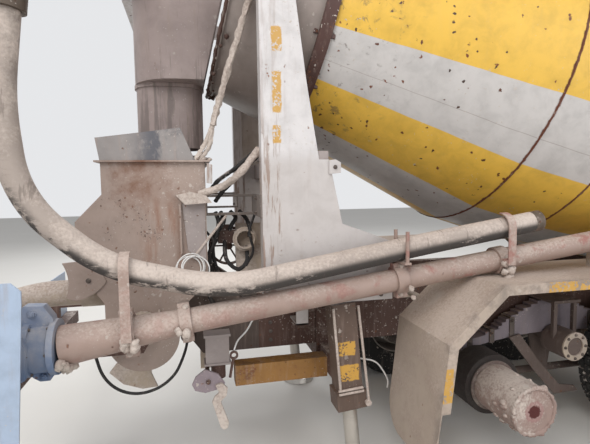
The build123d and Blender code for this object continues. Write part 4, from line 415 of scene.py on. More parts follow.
def hopper_marks(g, color, middle, fine):
    """Brown rust that ran down from the hopper's top, and dark specks lower down."""
    stain = g.patch((-3.16, 1.80), (-2.90, 2.12), soft=0.10, ragged=0.12)
    color = g.mix(g.times(stain, g.step(middle, 0.34, 0.66, 0.2, 0.9)), color, rgb(116, 78, 56))
    runs = g.noise(5.0, 5, 0.65, vector=g.moved(scale=(3.0, 3.0, 0.5)))
    run_area = g.patch((-3.02, 1.30), (-2.82, 1.80), soft=0.09, ragged=0.06)
    down = g.times(run_area, g.step(runs, 0.42, 0.66))
    color = g.mix(g.times(down, 0.75), color, rgb(132, 88, 62))
    spray = g.plus(g.times(middle, 0.4), g.times(fine, 0.6))
    low = g.times(g.patch((-3.3, 1.50), (-2.85, 1.86), soft=0.12), g.step(spray, 0.585, 0.615))
    return g.mix(g.times(low, 0.85), color, rgb(74, 54, 46))


def chute_runs(g, color, middle, fine):
    """Dark streaks that ran down the chute and its sleeve, thicker toward the bottom."""
    runs = g.noise(7.0, 5, 0.65, vector=g.moved(scale=(3.0, 3.0, 0.3)))
    low = g.step(g.axis("Z"), 3.0, 2.15, 0.0, 0.12)
    return g.mix(g.times(g.step(g.plus(runs, low), 0.57, 0.72), 0.6), color, rgb(98, 88, 84))


def ink_stains(g, color, middle, fine):
    """Blue-black stains that ran down the splash plates."""
    runs = g.noise(3.2, 6, 0.7, vector=g.moved(scale=(1.6, 1.6, 1.1), turn=(0, 0.5, 0)), distort=0.6)
    front = g.step(g.axis("X"), -3.12, -2.95)
    blot = g.times(g.step(runs, 0.40, 0.56), front)
    return g.mix(g.times(blot, 0.8), color, rgb(66, 69, 80))


def hub_shade_and_hole(g, color, middle, fine):
    """Painted shade: near-black over the recessed brake drum, inboard of Y -0.80; and a rusty red hole in the
    middle of the hub's end.
    """
    # Near-black where Y is above -0.80: painted shade on the recessed brake drum
    color = g.mix(g.step(g.axis("Y"), -0.84, -0.80, 0.0, 0.93), color, rgb(30, 27, 26))
    across = g.calc("POWER", g.plus(g.axis("X"), -REAR_AXLE_X), 2.0)
    upward = g.calc("POWER", g.minus(g.axis("Z"), WHEEL_Z), 2.0)
    away = g.plus(g.calc("SQRT", g.plus(across, upward)), g.times(fine, 0.03))
    end = g.step(g.axis("Y"), HUB_END_Y + 0.002, HUB_END_Y - 0.002)
    color = g.mix(g.times(g.step(away, 0.085, 0.075), g.times(end, 0.6)), color, rgb(150, 110, 108))
    return g.mix(g.times(g.step(away, 0.060, 0.050), end), color, rgb(78, 34, 32))


def guard_marks(g, color, middle, fine):
    """Yellow left on the right mudguard's lip, and grey grime toward its outer edge."""
    grime = g.times(g.step(g.axis("Y"), -1.17, -1.25, 0.0, 0.5), g.step(middle, 0.42, 0.62))
    color = g.mix(grime, color, rgb(112, 104, 98))
    return GUARD_YELLOW(g, color, middle, fine)


def coupling_crust(g, color, middle, fine):
    """Cement haze over the blue coupling, thinner on its lower part."""
    haze = g.step(g.axis("Z"), 0.98, 1.16, 0.15, 0.72)
    return g.mix(g.times(haze, g.step(middle, 0.35, 0.6, 0.55, 1.0)), color, rgb(168, 168, 174))


def pink_wear(g, color, middle, fine):
    """Old pink paint that shows through the dust, more of it toward the front."""
    ahead = g.step(g.axis("X"), -3.2, -0.6, 0.25, 0.75)
    return g.mix(g.times(g.step(middle, 0.50, 0.66), ahead), color, rgb(150, 96, 88))


def worn_rubber(g, color, middle, fine):
    """Black rubber bare of dust along parts of the hose's underside, and faint cracks around the hose."""
    ahead = g.step(g.axis("X"), -3.4, -1.3, 0.0, 0.10)
    below = g.step(g.minus(g.up, ahead), 0.12, -0.45)
    long_runs = g.noise(3.0, 6, 0.72, vector=g.moved(scale=(1.0, 2.5, 2.5)))
    torn = g.plus(long_runs, g.times(g.minus(fine, 0.5), 0.12))
    bare = g.times(below, g.step(g.plus(torn, ahead), 0.46, 0.54))
    color = g.mix(g.times(bare, 0.92), color, rgb(44, 41, 40))
    cracks = g.noise(9.0, 3, 0.6, vector=g.moved(scale=(4.0, 0.5, 0.5)))
    return g.mix(g.times(g.step(cracks, 0.64, 0.70), 0.45), color, rgb(96, 86, 80))


# Columns: name, base colour, shares of dust, rust and splashes, then the other values that coated() takes.
# A CAD node has the material of its own name where there is one, or else that of its slot in the record
coated("frame_beige", rgb(182, 166, 148), 0.62, 0.25, 0.4)
coated(
    "pump_hopper", rgb(160, 142, 132), 0.46, 0.42, 0.4, dusts=(rgb(188, 172, 163), rgb(148, 130, 122)),
    streak=0.6, marks=hopper_marks,
)
coated("frame_dark", rgb(80, 56, 48), 0.42, 0.35, 0.5, rough=0.7)
coated(
    "drum_paint", PAINT_YELLOW, 0.08, 0.0, 0.14, top=-0.1, rough=0.4, streak=0.05, crust=0.3,
    paint=drum_paint,
)
coated("ring_steel", rgb(78, 50, 44), 0.24, 0.5, 0.2, rough=0.5)
coated("cast", rgb(92, 82, 76), 0.5, 0.4, 0.4, rough=0.75)
coated("white_paint", rgb(212, 208, 208), 0.2, 0.14, 0.4, streak=0.25, marks=post_marks)
coated("white_wire", rgb(222, 220, 218), 0.2, 0.0, 0.2, rough=0.6, streak=0.1, edge=0)
coated(
    "bogie_frame", rgb(104, 90, 84), 0.36, 0.3, 0.45, dusts=(rgb(156, 142, 134), rgb(120, 106, 98)),
    rough=0.85,
)
coated("grey_paint", rgb(160, 149, 146), 0.4, 0.1, 0.25, streak=0.4)
coated(
    "discharge_chute", rgb(162, 146, 142), 0.34, 0.06, 0.2, dusts=(rgb(176, 162, 158), rgb(144, 128, 124)),
    streak=0.7, marks=chute_runs,
)
coated(
    "splash_plates", rgb(150, 144, 142), 0.3, 0.15, 0.3, dusts=(rgb(176, 168, 164), rgb(140, 132, 130)),
    streak=0.5, marks=ink_stains,
)
coated("grate_steel", rgb(96, 84, 74), 0.45, 0.5, 0.5, rough=0.6, metallic=0.4)
coated("blue_paint", rgb(78, 104, 140), 0.44, 0.08, 0.6, rough=0.6, marks=coupling_crust)
coated(
    "pipe_paint", rgb(158, 136, 126), 0.55, 0.15, 0.3, dusts=(rgb(190, 174, 165), rgb(160, 142, 132)),
    top=0.8, marks=pink_wear,
)
coated(
    "hose_rubber", rgb(164, 152, 144), 0.62, 0.0, 0.3, dusts=(rgb(202, 189, 180), rgb(176, 162, 153)),
    top=0.8, rough=0.85, streak=0.1, marks=worn_rubber,
)
coated("tyre_rubber", rgb(38, 37, 36), 0.36, 0.0, 0.3, rough=0.85, streak=0.2)
coated("rim_paint", rgb(166, 158, 150), 0.5, 0.3, 0.4)
coated("spring_steel", rgb(134, 124, 130), 0.42, 0.3, 0.4, rough=0.6)
coated("rod_steel", rgb(196, 190, 182), 0.2, 0.1, 0.3, rough=0.3, metallic=0.7, streak=0.05)
# Darkened base and dark dust colours: painted shade on the yellow side bar under the truck, over its real
# rust
coated(
    "yellow_paint", rgb(146, 104, 50), 0.46, 0.7, 0.3, dusts=(rgb(128, 104, 80), rgb(92, 68, 50)),
    streak=0.8,
)
coated("pale_panel", rgb(168, 184, 206), 0.16, 0.03, 0.25, rough=0.4)
coated("lamp_plastic", rgb(150, 24, 20), 0.25, 0.0, 0.3, rough=0.2)
coated("crust", rgb(190, 180, 170), 0.8, 0.12, 0.9, rough=0.95, crust=1.6)
coated("small_rubber", rgb(40, 38, 38), 0.36, 0.0, 0.25, rough=0.8, streak=0.1, edge=0)
coated("rear_jack_legs", rgb(92, 74, 64), 0.34, 0.3, 0.35, rough=0.7, marks=LEG_YELLOW)
coated("hub_rear_right", rgb(150, 128, 120), 0.5, 0.1, 0.4, rough=0.9, crust=1.0, marks=hub_shade_and_hole)
coated(
    "mudguards", rgb(172, 156, 142), 0.6, 0.12, 0.25, dusts=(rgb(188, 172, 160), rgb(162, 144, 132)),
    marks=guard_marks,
)
coated("hopper_arms", rgb(84, 72, 66), 0.34, 0.35, 0.5, rough=0.8)
coated("hopper_ties", rgb(120, 110, 104), 0.5, 0.2, 0.4, rough=0.8)
coated("lilac_paint", rgb(150, 136, 142), 0.4, 0.2, 0.5)
coated("weld_rust", rgb(100, 54, 36), 0.2, 0.6, 0.3, rough=0.85)
MATS["drop_sleeve"] = MATS["discharge_chute"]

for row in frame["record"]["subparts"]:
    node = frame["nodes"][row["node"]]
    node.data.materials.clear()
    node.data.materials.append(MATS.get(row["node"]) or MATS[row["material_slot"]])

# Mesh helpers. Most add one simple form to a bmesh

CURVE_STEPS = 8


def axes_of(along):
    """Two directions across a given one."""
    along = Vector(along).normalized()
    helper = Vector((0, 0, 1)) if abs(along.z) < 0.9 else Vector((1, 0, 0))
    first = along.cross(helper).normalized()
    return first, along.cross(first).normalized()


def circle(at, along, radius, count, turn=0.0):
    """Points on a circle around a direction."""
    first, second = axes_of(along)
    angles = [turn + 2 * math.pi * i / count for i in range(count)]
    return [Vector(at) + (first * math.cos(a) + second * math.sin(a)) * radius for a in angles]


def add_rows(bm, rows, closed=False):
    """Skin over rows of points that each go round. The last row joins the first, or both ends get a face."""
    rows = [[bm.verts.new(point) for point in row] for row in rows]
    for near, far in zip(rows, [*rows[1:], rows[0]] if closed else rows[1:]):
        for i in range(len(near)):
            bm.faces.new((near[i - 1], near[i], far[i], far[i - 1]))
    if not closed:
        bm.faces.new(rows[0][::-1])
        bm.faces.new(rows[-1])


def add_prism(bm, at, along, radius, length, sides=6, end_radius=None, turn=0.0):
    """Closed prism or cone from at, along a direction."""
    far = Vector(at) + Vector(along).normalized() * length
    end_radius = radius if end_radius is None else end_radius
    add_rows(bm, [circle(at, along, radius, sides, turn), circle(far, along, end_radius, sides, turn)])


def add_ring(bm, at, along, outer, inner, length, sides=32):
    """Closed ring from at, along a direction."""
    far = Vector(at) + Vector(along).normalized() * length
    corners = ((outer, at), (outer, far), (inner, far), (inner, at))
    add_rows(bm, [circle(middle, along, radius, sides) for radius, middle in corners], closed=True)


def add_box(bm, low, high):
    """Box between two corners."""
    (x0, y0, z0), (x1, y1, z1) = low, high
    add_rows(bm, [[(x0, y0, z), (x1, y0, z), (x1, y1, z), (x0, y1, z)] for z in (z0, z1)])


def add_plate(bm, outline, y, thick):
    """Flat plate across Y. The outline holds X and Z."""
    add_rows(bm, [[(x, side_y, z) for x, z in outline] for side_y in (y, y + thick)])


def smooth_points(points):
    """Points on a smooth curve through the given ones."""
    points = [Vector(p) for p in points]
    full = [2 * points[0] - points[1], *points, 2 * points[-1] - points[-2]]
    out = []
    for i in range(1, len(full) - 2):
        a, b, c, d = full[i - 1 : i + 3]
        square = 2 * a - 5 * b + 4 * c - d
        cube = 3 * b - 3 * c + d - a
        for k in range(CURVE_STEPS):
            t = k / CURVE_STEPS
            out.append(0.5 * (2 * b + (c - a) * t + square * t * t + cube * t**3))
    return [*out, points[-1]]


def add_tube(bm, points, radius, sides=10, rough=0.0, seed=0, smooth=True):
    """Round tube through points, curved where it has more than two. rough varies its radius."""
    chance = random.Random(seed)
    path = smooth_points(points) if smooth and len(points) > 2 else [Vector(p) for p in points]
    side = axes_of(path[1] - path[0])[0]
    turns = [2 * math.pi * k / sides for k in range(sides)]
    rows = []
    for i, at in enumerate(path):
        along = (path[min(i + 1, len(path) - 1)] - path[max(i - 1, 0)]).normalized()
        side = (side - along * side.dot(along)).normalized()
        other = along.cross(side)
        reach = [radius * (1 + rough * (chance.random() - 0.5)) for _ in turns]
        rows.append([at + (side * math.cos(a) + other * math.sin(a)) * r for a, r in zip(turns, reach)])
    add_rows(bm, rows)


def add_torus(bm, at, along, radius, thick, count=64, sides=8, rough=0.0, seed=0):
    """Round bead in a circle around a direction."""
    points = circle(at, along, radius, count)
    add_tube(bm, [*points, points[0]], thick, sides, rough, seed, smooth=False)


def add_lump(bm, at, size, seed, squash=(1, 1, 1)):
    """Rough lump of dried concrete."""
    chance = random.Random(seed)
    shift = Vector([chance.random() * 9 for _ in range(3)])
    for v in bmesh.ops.create_icosphere(bm, subdivisions=2, radius=size)["verts"]:
        v.co *= 1 + 0.55 * noise.noise(v.co / size * 1.1 + shift)
        v.co = Vector([c * share for c, share in zip(v.co, squash)]) + Vector(at)


def add_bolt(bm, at, along, size):
    """Hex head or nut with a washer and the bolt's end standing out of it."""
    at, along = Vector(at), Vector(along).normalized()
    end_at = at + along * size * 0.95
    add_prism(bm, at, along, size * 1.25, size * 0.2, sides=16)
    add_prism(bm, at + along * size * 0.2, along, size, size * 0.75, turn=at[0] * 7)
    add_prism(bm, end_at, along, size * 0.52, size * 0.35, sides=10, end_radius=size * 0.45)


def build(name, bm, mat, body="chassis", sharp=40):
    """Turns a bmesh into a piece that rides on a body. Edges of more degrees than sharp stay sharp."""
    bmesh.ops.recalc_face_normals(bm, faces=bm.faces)
    mesh = bpy.data.meshes.new(name)
    bm.to_mesh(mesh)
    bm.free()
    mesh.materials.append(MATS[mat])
    mesh.shade_smooth()
    mesh.set_sharp_from_angle(angle=math.radians(sharp))
    piece = bpy.data.objects.new(name, mesh)
    bpy.context.scene.collection.objects.link(piece)
    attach(piece, body)
    return piece


def drum_point(s, r, degrees):
    """Point at distance s along the drum's axis and r from it, by degrees from the right side."""
    a = math.radians(degrees)
    return DRUM_AT + DRUM_ALONG * s + (RIGHT_OUT * math.cos(a) + DRUM_UP * math.sin(a)) * r


def pipe_z(x):
    """Height of the rising delivery pipe's centreline."""
    return PIPE_START_Z + (x - PIPE_START_X) * PIPE_RISE


# Pieces that ride on the CAD bodies

# Hoses, rods and wires. Columns: name, material, radius, roughness, then runs of points
TUBES = (
    ("rope_crusted", "crust", 0.019, 0.7,
     ((-2.366, -0.78, 3.0), (-2.385, -0.7, 2.95), (-2.47, -0.675, 2.7), (-2.55, -0.65, 2.45),
      (-2.606, -0.62, 2.248))),
    ("rope_strands", "crust", 0.013, 0.7,
     ((-2.603, -0.62, 2.26), (-2.655, -0.6, 2.14), (-2.718, -0.6, 2.043)),
     ((-2.608, -0.622, 2.26), (-2.63, -0.605, 2.13), (-2.689, -0.59, 2.043))),
    ("arm_bent", "crust", 0.021, 0.35,
     ((-2.352, -0.75, 2.096), (-2.472, -0.79, 1.957), (-2.559, -0.67, 1.885), (-2.7, -0.63, 1.838))),
    ("arm_hoses", "small_rubber", 0.013, 0.25,
     ((-2.354, -0.71, 2.1), (-2.47, -0.655, 2.0), (-2.579, -0.6, 1.922), (-2.63, -0.57, 1.86)),
     ((-2.354, -0.68, 2.06), (-2.45, -0.64, 1.96), (-2.55, -0.58, 1.86), (-2.6, -0.53, 1.79))),
    ("rod_diagonal", "crust", 0.008, 0.3, ((-2.54, -0.6, 1.704), (-2.735, -0.607, 1.465))),
    ("hydraulic_hoses", "small_rubber", 0.0135, 0.12,
     ((-2.6, -0.5, 1.72), (-2.585, -0.53, 1.66), (-2.6, -0.5, 1.55), (-2.645, -0.48, 1.45),
      (-2.62, -0.4, 1.3)),
     ((-2.565, -0.47, 1.72), (-2.55, -0.51, 1.66), (-2.61, -0.49, 1.56), (-2.62, -0.45, 1.44),
      (-2.58, -0.38, 1.28)),
     ((-2.5, -0.42, 1.72), (-2.47, -0.45, 1.68), (-2.5, -0.46, 1.63), (-2.515, -0.44, 1.58)),
     ((-2.545, -0.45, 1.53), (-2.54, -0.52, 1.42), (-2.47, -0.53, 1.355), (-2.41, -0.51, 1.4),
      (-2.405, -0.46, 1.49)),
     ((-2.44, -0.4, 1.72), (-2.4, -0.45, 1.67), (-2.385, -0.49, 1.61), (-2.39, -0.51, 1.56)),
     ((-2.64, -0.36, 1.3), (-2.66, -0.5, 1.22), (-2.6, -0.47, 1.1), (-2.45, -0.4, 1.075))),
    ("thin_hoses", "small_rubber", 0.008, 0.1,
     ((-2.66, -0.52, 1.6), (-2.62, -0.56, 1.54), (-2.655, -0.53, 1.44), (-2.63, -0.46, 1.33)),
     ((-2.56, -0.5, 1.7), (-2.6, -0.55, 1.58), (-2.645, -0.52, 1.45), (-2.67, -0.5, 1.34)),
     ((-2.36, -0.55, 1.7), (-2.4, -0.6, 1.6), (-2.38, -0.6, 1.48), (-2.42, -0.56, 1.38))),
    ("light_wires", "white_wire", 0.005, 0.2,
     ((-2.528, -0.74, 0.9), (-2.5, -0.72, 0.955), (-2.44, -0.7, 1.01), (-2.38, -0.66, 1.1),
      (-2.33, -0.5, 1.14)),
     ((-1.9, -0.71, 0.79), (-1.7, -0.72, 0.76), (-1.6, -0.72, 0.72), (-1.52, -0.7, 0.6),
      (-1.5, -0.66, 0.52))),
    ("ring_rod", "frame_dark", 0.008, 0.3, ((-2.532, -0.75, 0.865), (-2.554, -0.75, 0.745))),
)
for name, mat, radius, rough, *runs in TUBES:
    bm = bmesh.new()
    for i, run in enumerate(runs):
        add_tube(bm, run, radius, sides=12, rough=rough, seed=i)
    build(name, bm, mat)

# Free loop of grease hose under the hopper, held at its two ends only
LOOP_ROUTE = (
    (-3.305, -0.85, 1.055), (-3.302, -0.8, 1.03), (-3.292, -0.76, 0.955), (-3.265, -0.75, 0.83),
    (-3.19, -0.75, 0.74), (-3.08, -0.75, 0.7), (-2.96, -0.75, 0.724), (-2.87, -0.74, 0.79),
    (-2.83, -0.68, 0.85), (-2.8, -0.56, 0.9), (-2.796, -0.49, 0.93),
)
LOOP_DIAMETER = 0.017
curve = bpy.data.curves.new("grease_hose_loop", "CURVE")
curve.dimensions = "3D"
curve.bevel_depth = LOOP_DIAMETER / 2
curve.bevel_resolution = 4
curve.resolution_u = 12
spline = curve.splines.new("NURBS")
spline.points.add(len(LOOP_ROUTE) - 1)
for point, at in zip(spline.points, LOOP_ROUTE):
    point.co = (*at, 1)
spline.order_u = 3
spline.use_endpoint_u = True
curve.materials.append(MATS["small_rubber"])
loop = bpy.data.objects.new("grease_hose_loop", curve)
bpy.context.scene.collection.objects.link(loop)
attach(loop, "chassis")

# Flat plates. Columns: name, material, Y, thickness toward the left, X and Z of the corners
PLATES = (
    ("arm_shelf", "crust", -0.665, 0.07,
     ((-2.835, 1.835), (-2.784, 1.778), (-2.627, 1.786), (-2.66, 1.83), (-2.75, 1.852))),
    ("bracket_small", "white_paint", -0.635, 0.008,
     ((-2.655, 1.904), (-2.622, 1.9), (-2.618, 2.012), (-2.65, 2.023))),
    ("hopper_front_plate", "grey_paint", -0.606, 0.006,
     ((-2.802, 1.782), (-2.668, 1.782), (-2.668, 1.42), (-2.775, 1.5))),
    ("hopper_rib", "pump_hopper", -0.632, 0.032,
     ((-2.818, 1.782), (-2.808, 1.782), (-2.808, 1.49), (-2.818, 1.47))),
    ("lever_cap", "lilac_paint", -0.7, 0.016,
     ((-2.777, 0.7), (-2.755, 0.745), (-2.699, 0.785), (-2.62, 0.75), (-2.582, 0.69), (-2.6, 0.66),
      (-2.7, 0.642), (-2.76, 0.662))),
    ("lever", "crust", -0.722, 0.02,
     ((-2.6, 0.7), (-2.568, 0.665), (-2.575, 0.62), (-2.612, 0.588), (-2.566, 0.45), (-2.572, 0.418),
      (-2.594, 0.408), (-2.615, 0.425), (-2.662, 0.59), (-2.645, 0.62), (-2.618, 0.642), (-2.64, 0.69))),
    ("lever_hanger", "frame_beige", -0.41, 0.02,
     ((-2.72, 0.68), (-2.64, 0.68), (-2.64, 0.82), (-2.72, 0.86))),
    ("cleanout_flap", "frame_beige", -0.32, 0.02,
     ((-3.304, 0.675), (-3.26, 0.73), (-3.12, 0.772), (-3.05, 0.772), (-3.04, 0.64), (-3.005, 0.551),
      (-3.1, 0.545), (-3.22, 0.59))),
    ("bogie_shield", "bogie_frame", -0.575, 0.012,
     ((-0.489, 0.74), (-0.282, 0.482), (-0.085, 0.264), (0.135, 0.264), (0.1, 0.31), (-0.04, 0.335),
      (-0.22, 0.53), (-0.4, 0.76))),
    ("ear_lug", "white_paint", -0.872, 0.012,
     ((-1.962, 1.945), (-1.892, 1.952), (-1.892, 2.012), (-1.925, 2.03), (-1.962, 2.025))),
    ("light_bracket", "white_paint", -0.62, 0.01,
     ((-2.113, 0.984), (-2.034, 0.984), (-2.034, 1.156), (-2.113, 1.156))),
)
for name, mat, y, thick, outline in PLATES:
    bm = bmesh.new()
    add_plate(bm, outline, y, thick)
    build(name, bm, mat)

# Blocks. Columns: name, material, then the low and high corner of each block
BLOCKS = (
    ("valve_block", "frame_dark",
     ((-2.585, -0.46, 1.515), (-2.465, -0.4, 1.6)), ((-2.56, -0.45, 1.6), (-2.51, -0.41, 1.635))),
    ("grease_box", "grey_paint",
     ((-2.69, -0.655, 0.8), (-2.548, -0.56, 0.968)), ((-2.7, -0.665, 0.966), (-2.538, -0.552, 0.98)),
     ((-2.7, -0.665, 0.79), (-2.538, -0.552, 0.802)), ((-2.64, -0.56, 0.86), (-2.6, -0.43, 0.9))),
    ("bracket_shelf", "white_paint", ((-2.113, -0.62, 0.984), (-2.034, -0.43, 0.994))),
    ("stub_plate", "frame_beige", ((-2.47, -0.42, 1.23), (-2.276, -0.41, 1.64))),
    ("feed_rim", "grey_paint",
     ((-3.21, -0.51, 4.0), (-2.41, -0.487, 4.03)), ((-3.21, 0.487, 4.0), (-2.41, 0.51, 4.03)),
     ((-3.21, -0.487, 4.0), (-3.187, 0.487, 4.03)), ((-2.433, -0.487, 4.0), (-2.41, 0.487, 4.03))),
)
for name, mat, *boxes in BLOCKS:
    bm = bmesh.new()
    for low, high in boxes:
        add_box(bm, low, high)
    build(name, bm, mat)

# Lugs of the blue coupling. Columns: Y, thickness, X and Z of the corners
COUPLING_LUGS = (
    (-1.0, 0.07,
     ((-3.575, 1.2), (-3.58, 1.29), (-3.555, 1.315), (-3.47, 1.31), (-3.43, 1.25), (-3.42, 1.2))),
    (-1.0, 0.07,
     ((-3.55, 1.0), (-3.53, 0.955), (-3.5, 0.935), (-3.455, 0.935), (-3.43, 0.97), (-3.42, 1.0))),
    (-1.115, 0.03,
     ((-3.585, 1.15), (-3.6, 1.205), (-3.56, 1.235), (-3.52, 1.14), (-3.53, 0.99), (-3.56, 0.975))),
)
LUG_BOLT = 0.017
LUG_THICK = 0.07
bm = bmesh.new()
for y, thick, outline in COUPLING_LUGS:
    add_plate(bm, outline, y, thick)
for bolt_at in (Vector((-3.52, -1.0, 1.275)), Vector((-3.48, -1.0, 0.96))):
    add_bolt(bm, bolt_at, RIGHT_OUT, LUG_BOLT)
    add_bolt(bm, bolt_at + LEFT_OUT * LUG_THICK, LEFT_OUT, LUG_BOLT)
build("coupling_lugs", bm, "blue_paint")

HAND_WHEEL_AT = Vector((-2.514, -0.37, 1.490))
bm = bmesh.new()
add_torus(bm, HAND_WHEEL_AT, RIGHT_OUT, 0.122, 0.009)
add_prism(bm, HAND_WHEEL_AT + LEFT_OUT * 0.02, RIGHT_OUT, 0.026, 0.045, sides=20)
add_prism(bm, HAND_WHEEL_AT, LEFT_OUT, 0.012, 0.20, sides=12)
for spoke_end in circle(HAND_WHEEL_AT, RIGHT_OUT, 0.118, 6):
    add_tube(bm, (HAND_WHEEL_AT, spoke_end), 0.006)
build("hand_wheel", bm, "frame_dark")

STUB_AT = Vector((-2.417, -0.515, 1.543))
bm = bmesh.new()
add_ring(bm, STUB_AT, LEFT_OUT, 0.064, 0.053, 0.105)
add_ring(bm, STUB_AT + LEFT_OUT * 0.022, LEFT_OUT, 0.078, 0.06, 0.012)
add_prism(bm, STUB_AT + LEFT_OUT * 0.085, LEFT_OUT, 0.06, 0.01, sides=32)
build("stub_pipe", bm, "frame_beige")

# Coil of white wire. Columns: X, Z and radius of each turn
COIL_TURNS = ((-2.76, 1.398, 0.085), (-2.775, 1.392, 0.075), (-2.75, 1.405, 0.066), (-2.73, 1.39, 0.08))
bm = bmesh.new()
for i, (coil_x, coil_z, coil_r) in enumerate(COIL_TURNS):
    at = (coil_x, -0.63 - 0.008 * i, coil_z)
    add_torus(bm, at, (0.25, -1, 0.1 * i), coil_r, 0.0042, count=40, rough=0.3, seed=i)
build("wire_coil", bm, "white_wire")

# Shafts and studs near the hopper. Columns: place, direction, radius, length, sides, radius of the end
STUDS = (
    ((-2.68, -0.715, 0.712), LEFT_OUT, 0.014, 0.32, 14, 0.014),
    ((-2.615, -0.612, 0.70), (0, 0, 1), 0.045, 0.095, 18, 0.045),
    ((-2.794, -0.43, 0.932), RIGHT_OUT, 0.046, 0.05, 20, 0.046),
    ((-2.794, -0.48, 0.932), RIGHT_OUT, 0.046, 0.018, 20, 0.03),
    ((-3.305, -0.875, 1.07), (0, 1, -0.5), 0.013, 0.035, 12, 0.013),
    ((-3.18, -0.33, 0.76), LEFT_OUT, 0.016, 0.09, 14, 0.016),
    ((-3.07, -0.33, 0.767), LEFT_OUT, 0.016, 0.09, 14, 0.016),
)
bm = bmesh.new()
add_ring(bm, (-2.528, -0.756, 0.879), LEFT_OUT, 0.026, 0.014, 0.012, sides=20)
for stud in STUDS:
    add_prism(bm, *stud)
build("shafts_and_studs", bm, "frame_dark")

# Clamps: nuts on both lugs, crusted where the concrete leaks. Columns: X, distance of the lug from the pipe's
# middle, turn of the lug pair, lumps of crust
CLAMPS = (
    (-3.08, 0.105, 90, 9), (-2.795, 0.085, 90, 3), (-1.57, 0.085, 90, 2), (-0.90, 0.085, 0, 5),
    (-0.06, 0.085, 0, 1),
)
CLAMP_HALF = 0.026
CLAMP_BOLT = 0.013
bolts = bmesh.new()
lumps = bmesh.new()
for row, (clamp_x, reach, lug_turn, lump_count) in enumerate(CLAMPS):
    middle = Vector((clamp_x, PIPE_Y, pipe_z(clamp_x)))
    turn = math.radians(lug_turn)
    across = Vector((0, -math.sin(turn), math.cos(turn)))
    for end in (-1, 1):
        lug = middle + Vector((0, math.cos(turn), math.sin(turn))) * end * reach
        add_bolt(bolts, lug + across * CLAMP_HALF, across, CLAMP_BOLT)
        add_bolt(bolts, lug - across * CLAMP_HALF, -across, CLAMP_BOLT)
    chance = random.Random(row)
    for i in range(lump_count):
        shift = (chance.uniform(-0.045, 0.045), -0.085 - chance.random() * 0.02, chance.uniform(-0.09, -0.01))
        add_lump(lumps, middle + Vector(shift), 0.014 + chance.random() * 0.014, row * 20 + i)
# Crust around the pipe's cuff ahead of the coupling
CUFF_X = -3.405
CUFF_SEED = 100
for seed in range(CUFF_SEED, CUFF_SEED + 26):
    chance = random.Random(seed)
    turn = math.radians(200 + 140 * chance.random())
    reach = 0.105 + 0.02 * chance.random()
    at_x = CUFF_X + chance.uniform(-0.01, 0.05)
    at = (at_x, PIPE_Y + reach * math.cos(turn), pipe_z(CUFF_X) + reach * math.sin(turn))
    add_lump(lumps, at, 0.012 + 0.014 * chance.random(), seed)
# Crust on the hopper's rim. Columns: low and high corner, lumps
RIM_CRUST = (
    ((-2.72, -0.62, 2.045), (-2.63, -0.45, 2.05), 16), ((-3.24, -0.62, 2.042), (-3.2, 0.5, 2.045), 14),
)
RIM_SEED = 300
for row, (low, high, count) in enumerate(RIM_CRUST):
    chance = random.Random(RIM_SEED + row)
    for i in range(count):
        at = [a + (b - a) * chance.random() for a, b in zip(low, high)]
        add_lump(lumps, at, 0.012 + 0.02 * chance.random(), RIM_SEED + 20 * row + i, squash=(1, 1, 0.7))
build("clamp_bolts", bolts, "crust")
build("crust_lumps", lumps, "crust", sharp=80)

# Bolts of the coupling's flanges. Columns: X, direction
FLANGES = ((-3.53, (1, 0, 0)), (-3.443, (-1, 0, 0)))
# Rings of bolts on each side. Columns: X, Y and Z of the middle, radius of the ring, count, bolt size
BOLT_RINGS = (
    (TRUNNION_X, 0.772, TRUNNION_Z, 0.086, 8, 0.009),
    (-3.05, 0.614, 1.04, 0.083, 6, 0.010),
    (-3.34, 0.61, 1.349, 0.0, 1, 0.012),
    (3.83, RAIL_FACE, 0.925, 0.05, 2, 0.010),
    (-1.926, LEG_FACE, 1.985, 0.0, 1, 0.010),
)
# Rows of bolts on each side. Columns: Y, direction ahead and sideways, X and Z of each bolt
FRAME_BOLT = 0.011
BOLT_ROWS = (
    (RAIL_FACE, 0, 1, [(-2.25, z) for z in (0.84, 0.90, 0.96, 1.02)] + [(-1.62, 0.86), (-1.62, 0.98)]),
    (RAIL_FACE, 0, 1, [(x, z) for x in (1.25, 2.2) for z in (0.88, 0.97)]),
    (LEG_FACE, 0, 1, [(x, 1.215) for x in (-2.19, -2.05, -1.80, -1.64)]),
    (0.70, -1, 0, [(-2.366, 1.725), (-2.366, 1.81)]),
)
bm = bmesh.new()
for flange_x, along in FLANGES:
    for at in circle((flange_x, PIPE_Y, PIPE_START_Z), along, 0.129, 6):
        add_bolt(bm, at, along, 0.007)
for side in (-1, 1):
    for x, y, z, ring_r, count, size in BOLT_RINGS:
        for at in circle((x, side * y, z), (0, side, 0), ring_r, count):
            add_bolt(bm, at, (0, side, 0), size)
    for y, ahead, sideways, places in BOLT_ROWS:
        for x, z in places:
            add_bolt(bm, (x, side * y, z), (ahead, side * sideways, 0), FRAME_BOLT)
build("frame_bolts", bm, "cast")

bm = bmesh.new()
for side in (-1, 1):
    outward = (0, side, 0)
    add_ring(bm, (TRUNNION_X, side * 0.76, TRUNNION_Z), outward, 0.104, 0.066, 0.012, sides=48)
    add_ring(bm, (-3.05, side * 0.60, 1.04), outward, 0.105, 0.03, 0.014, sides=48)
    add_prism(bm, (-3.05, side * 0.60, 1.04), outward, 0.055, 0.05, sides=32, end_radius=0.05)
build("bearing_caps", bm, "frame_beige")

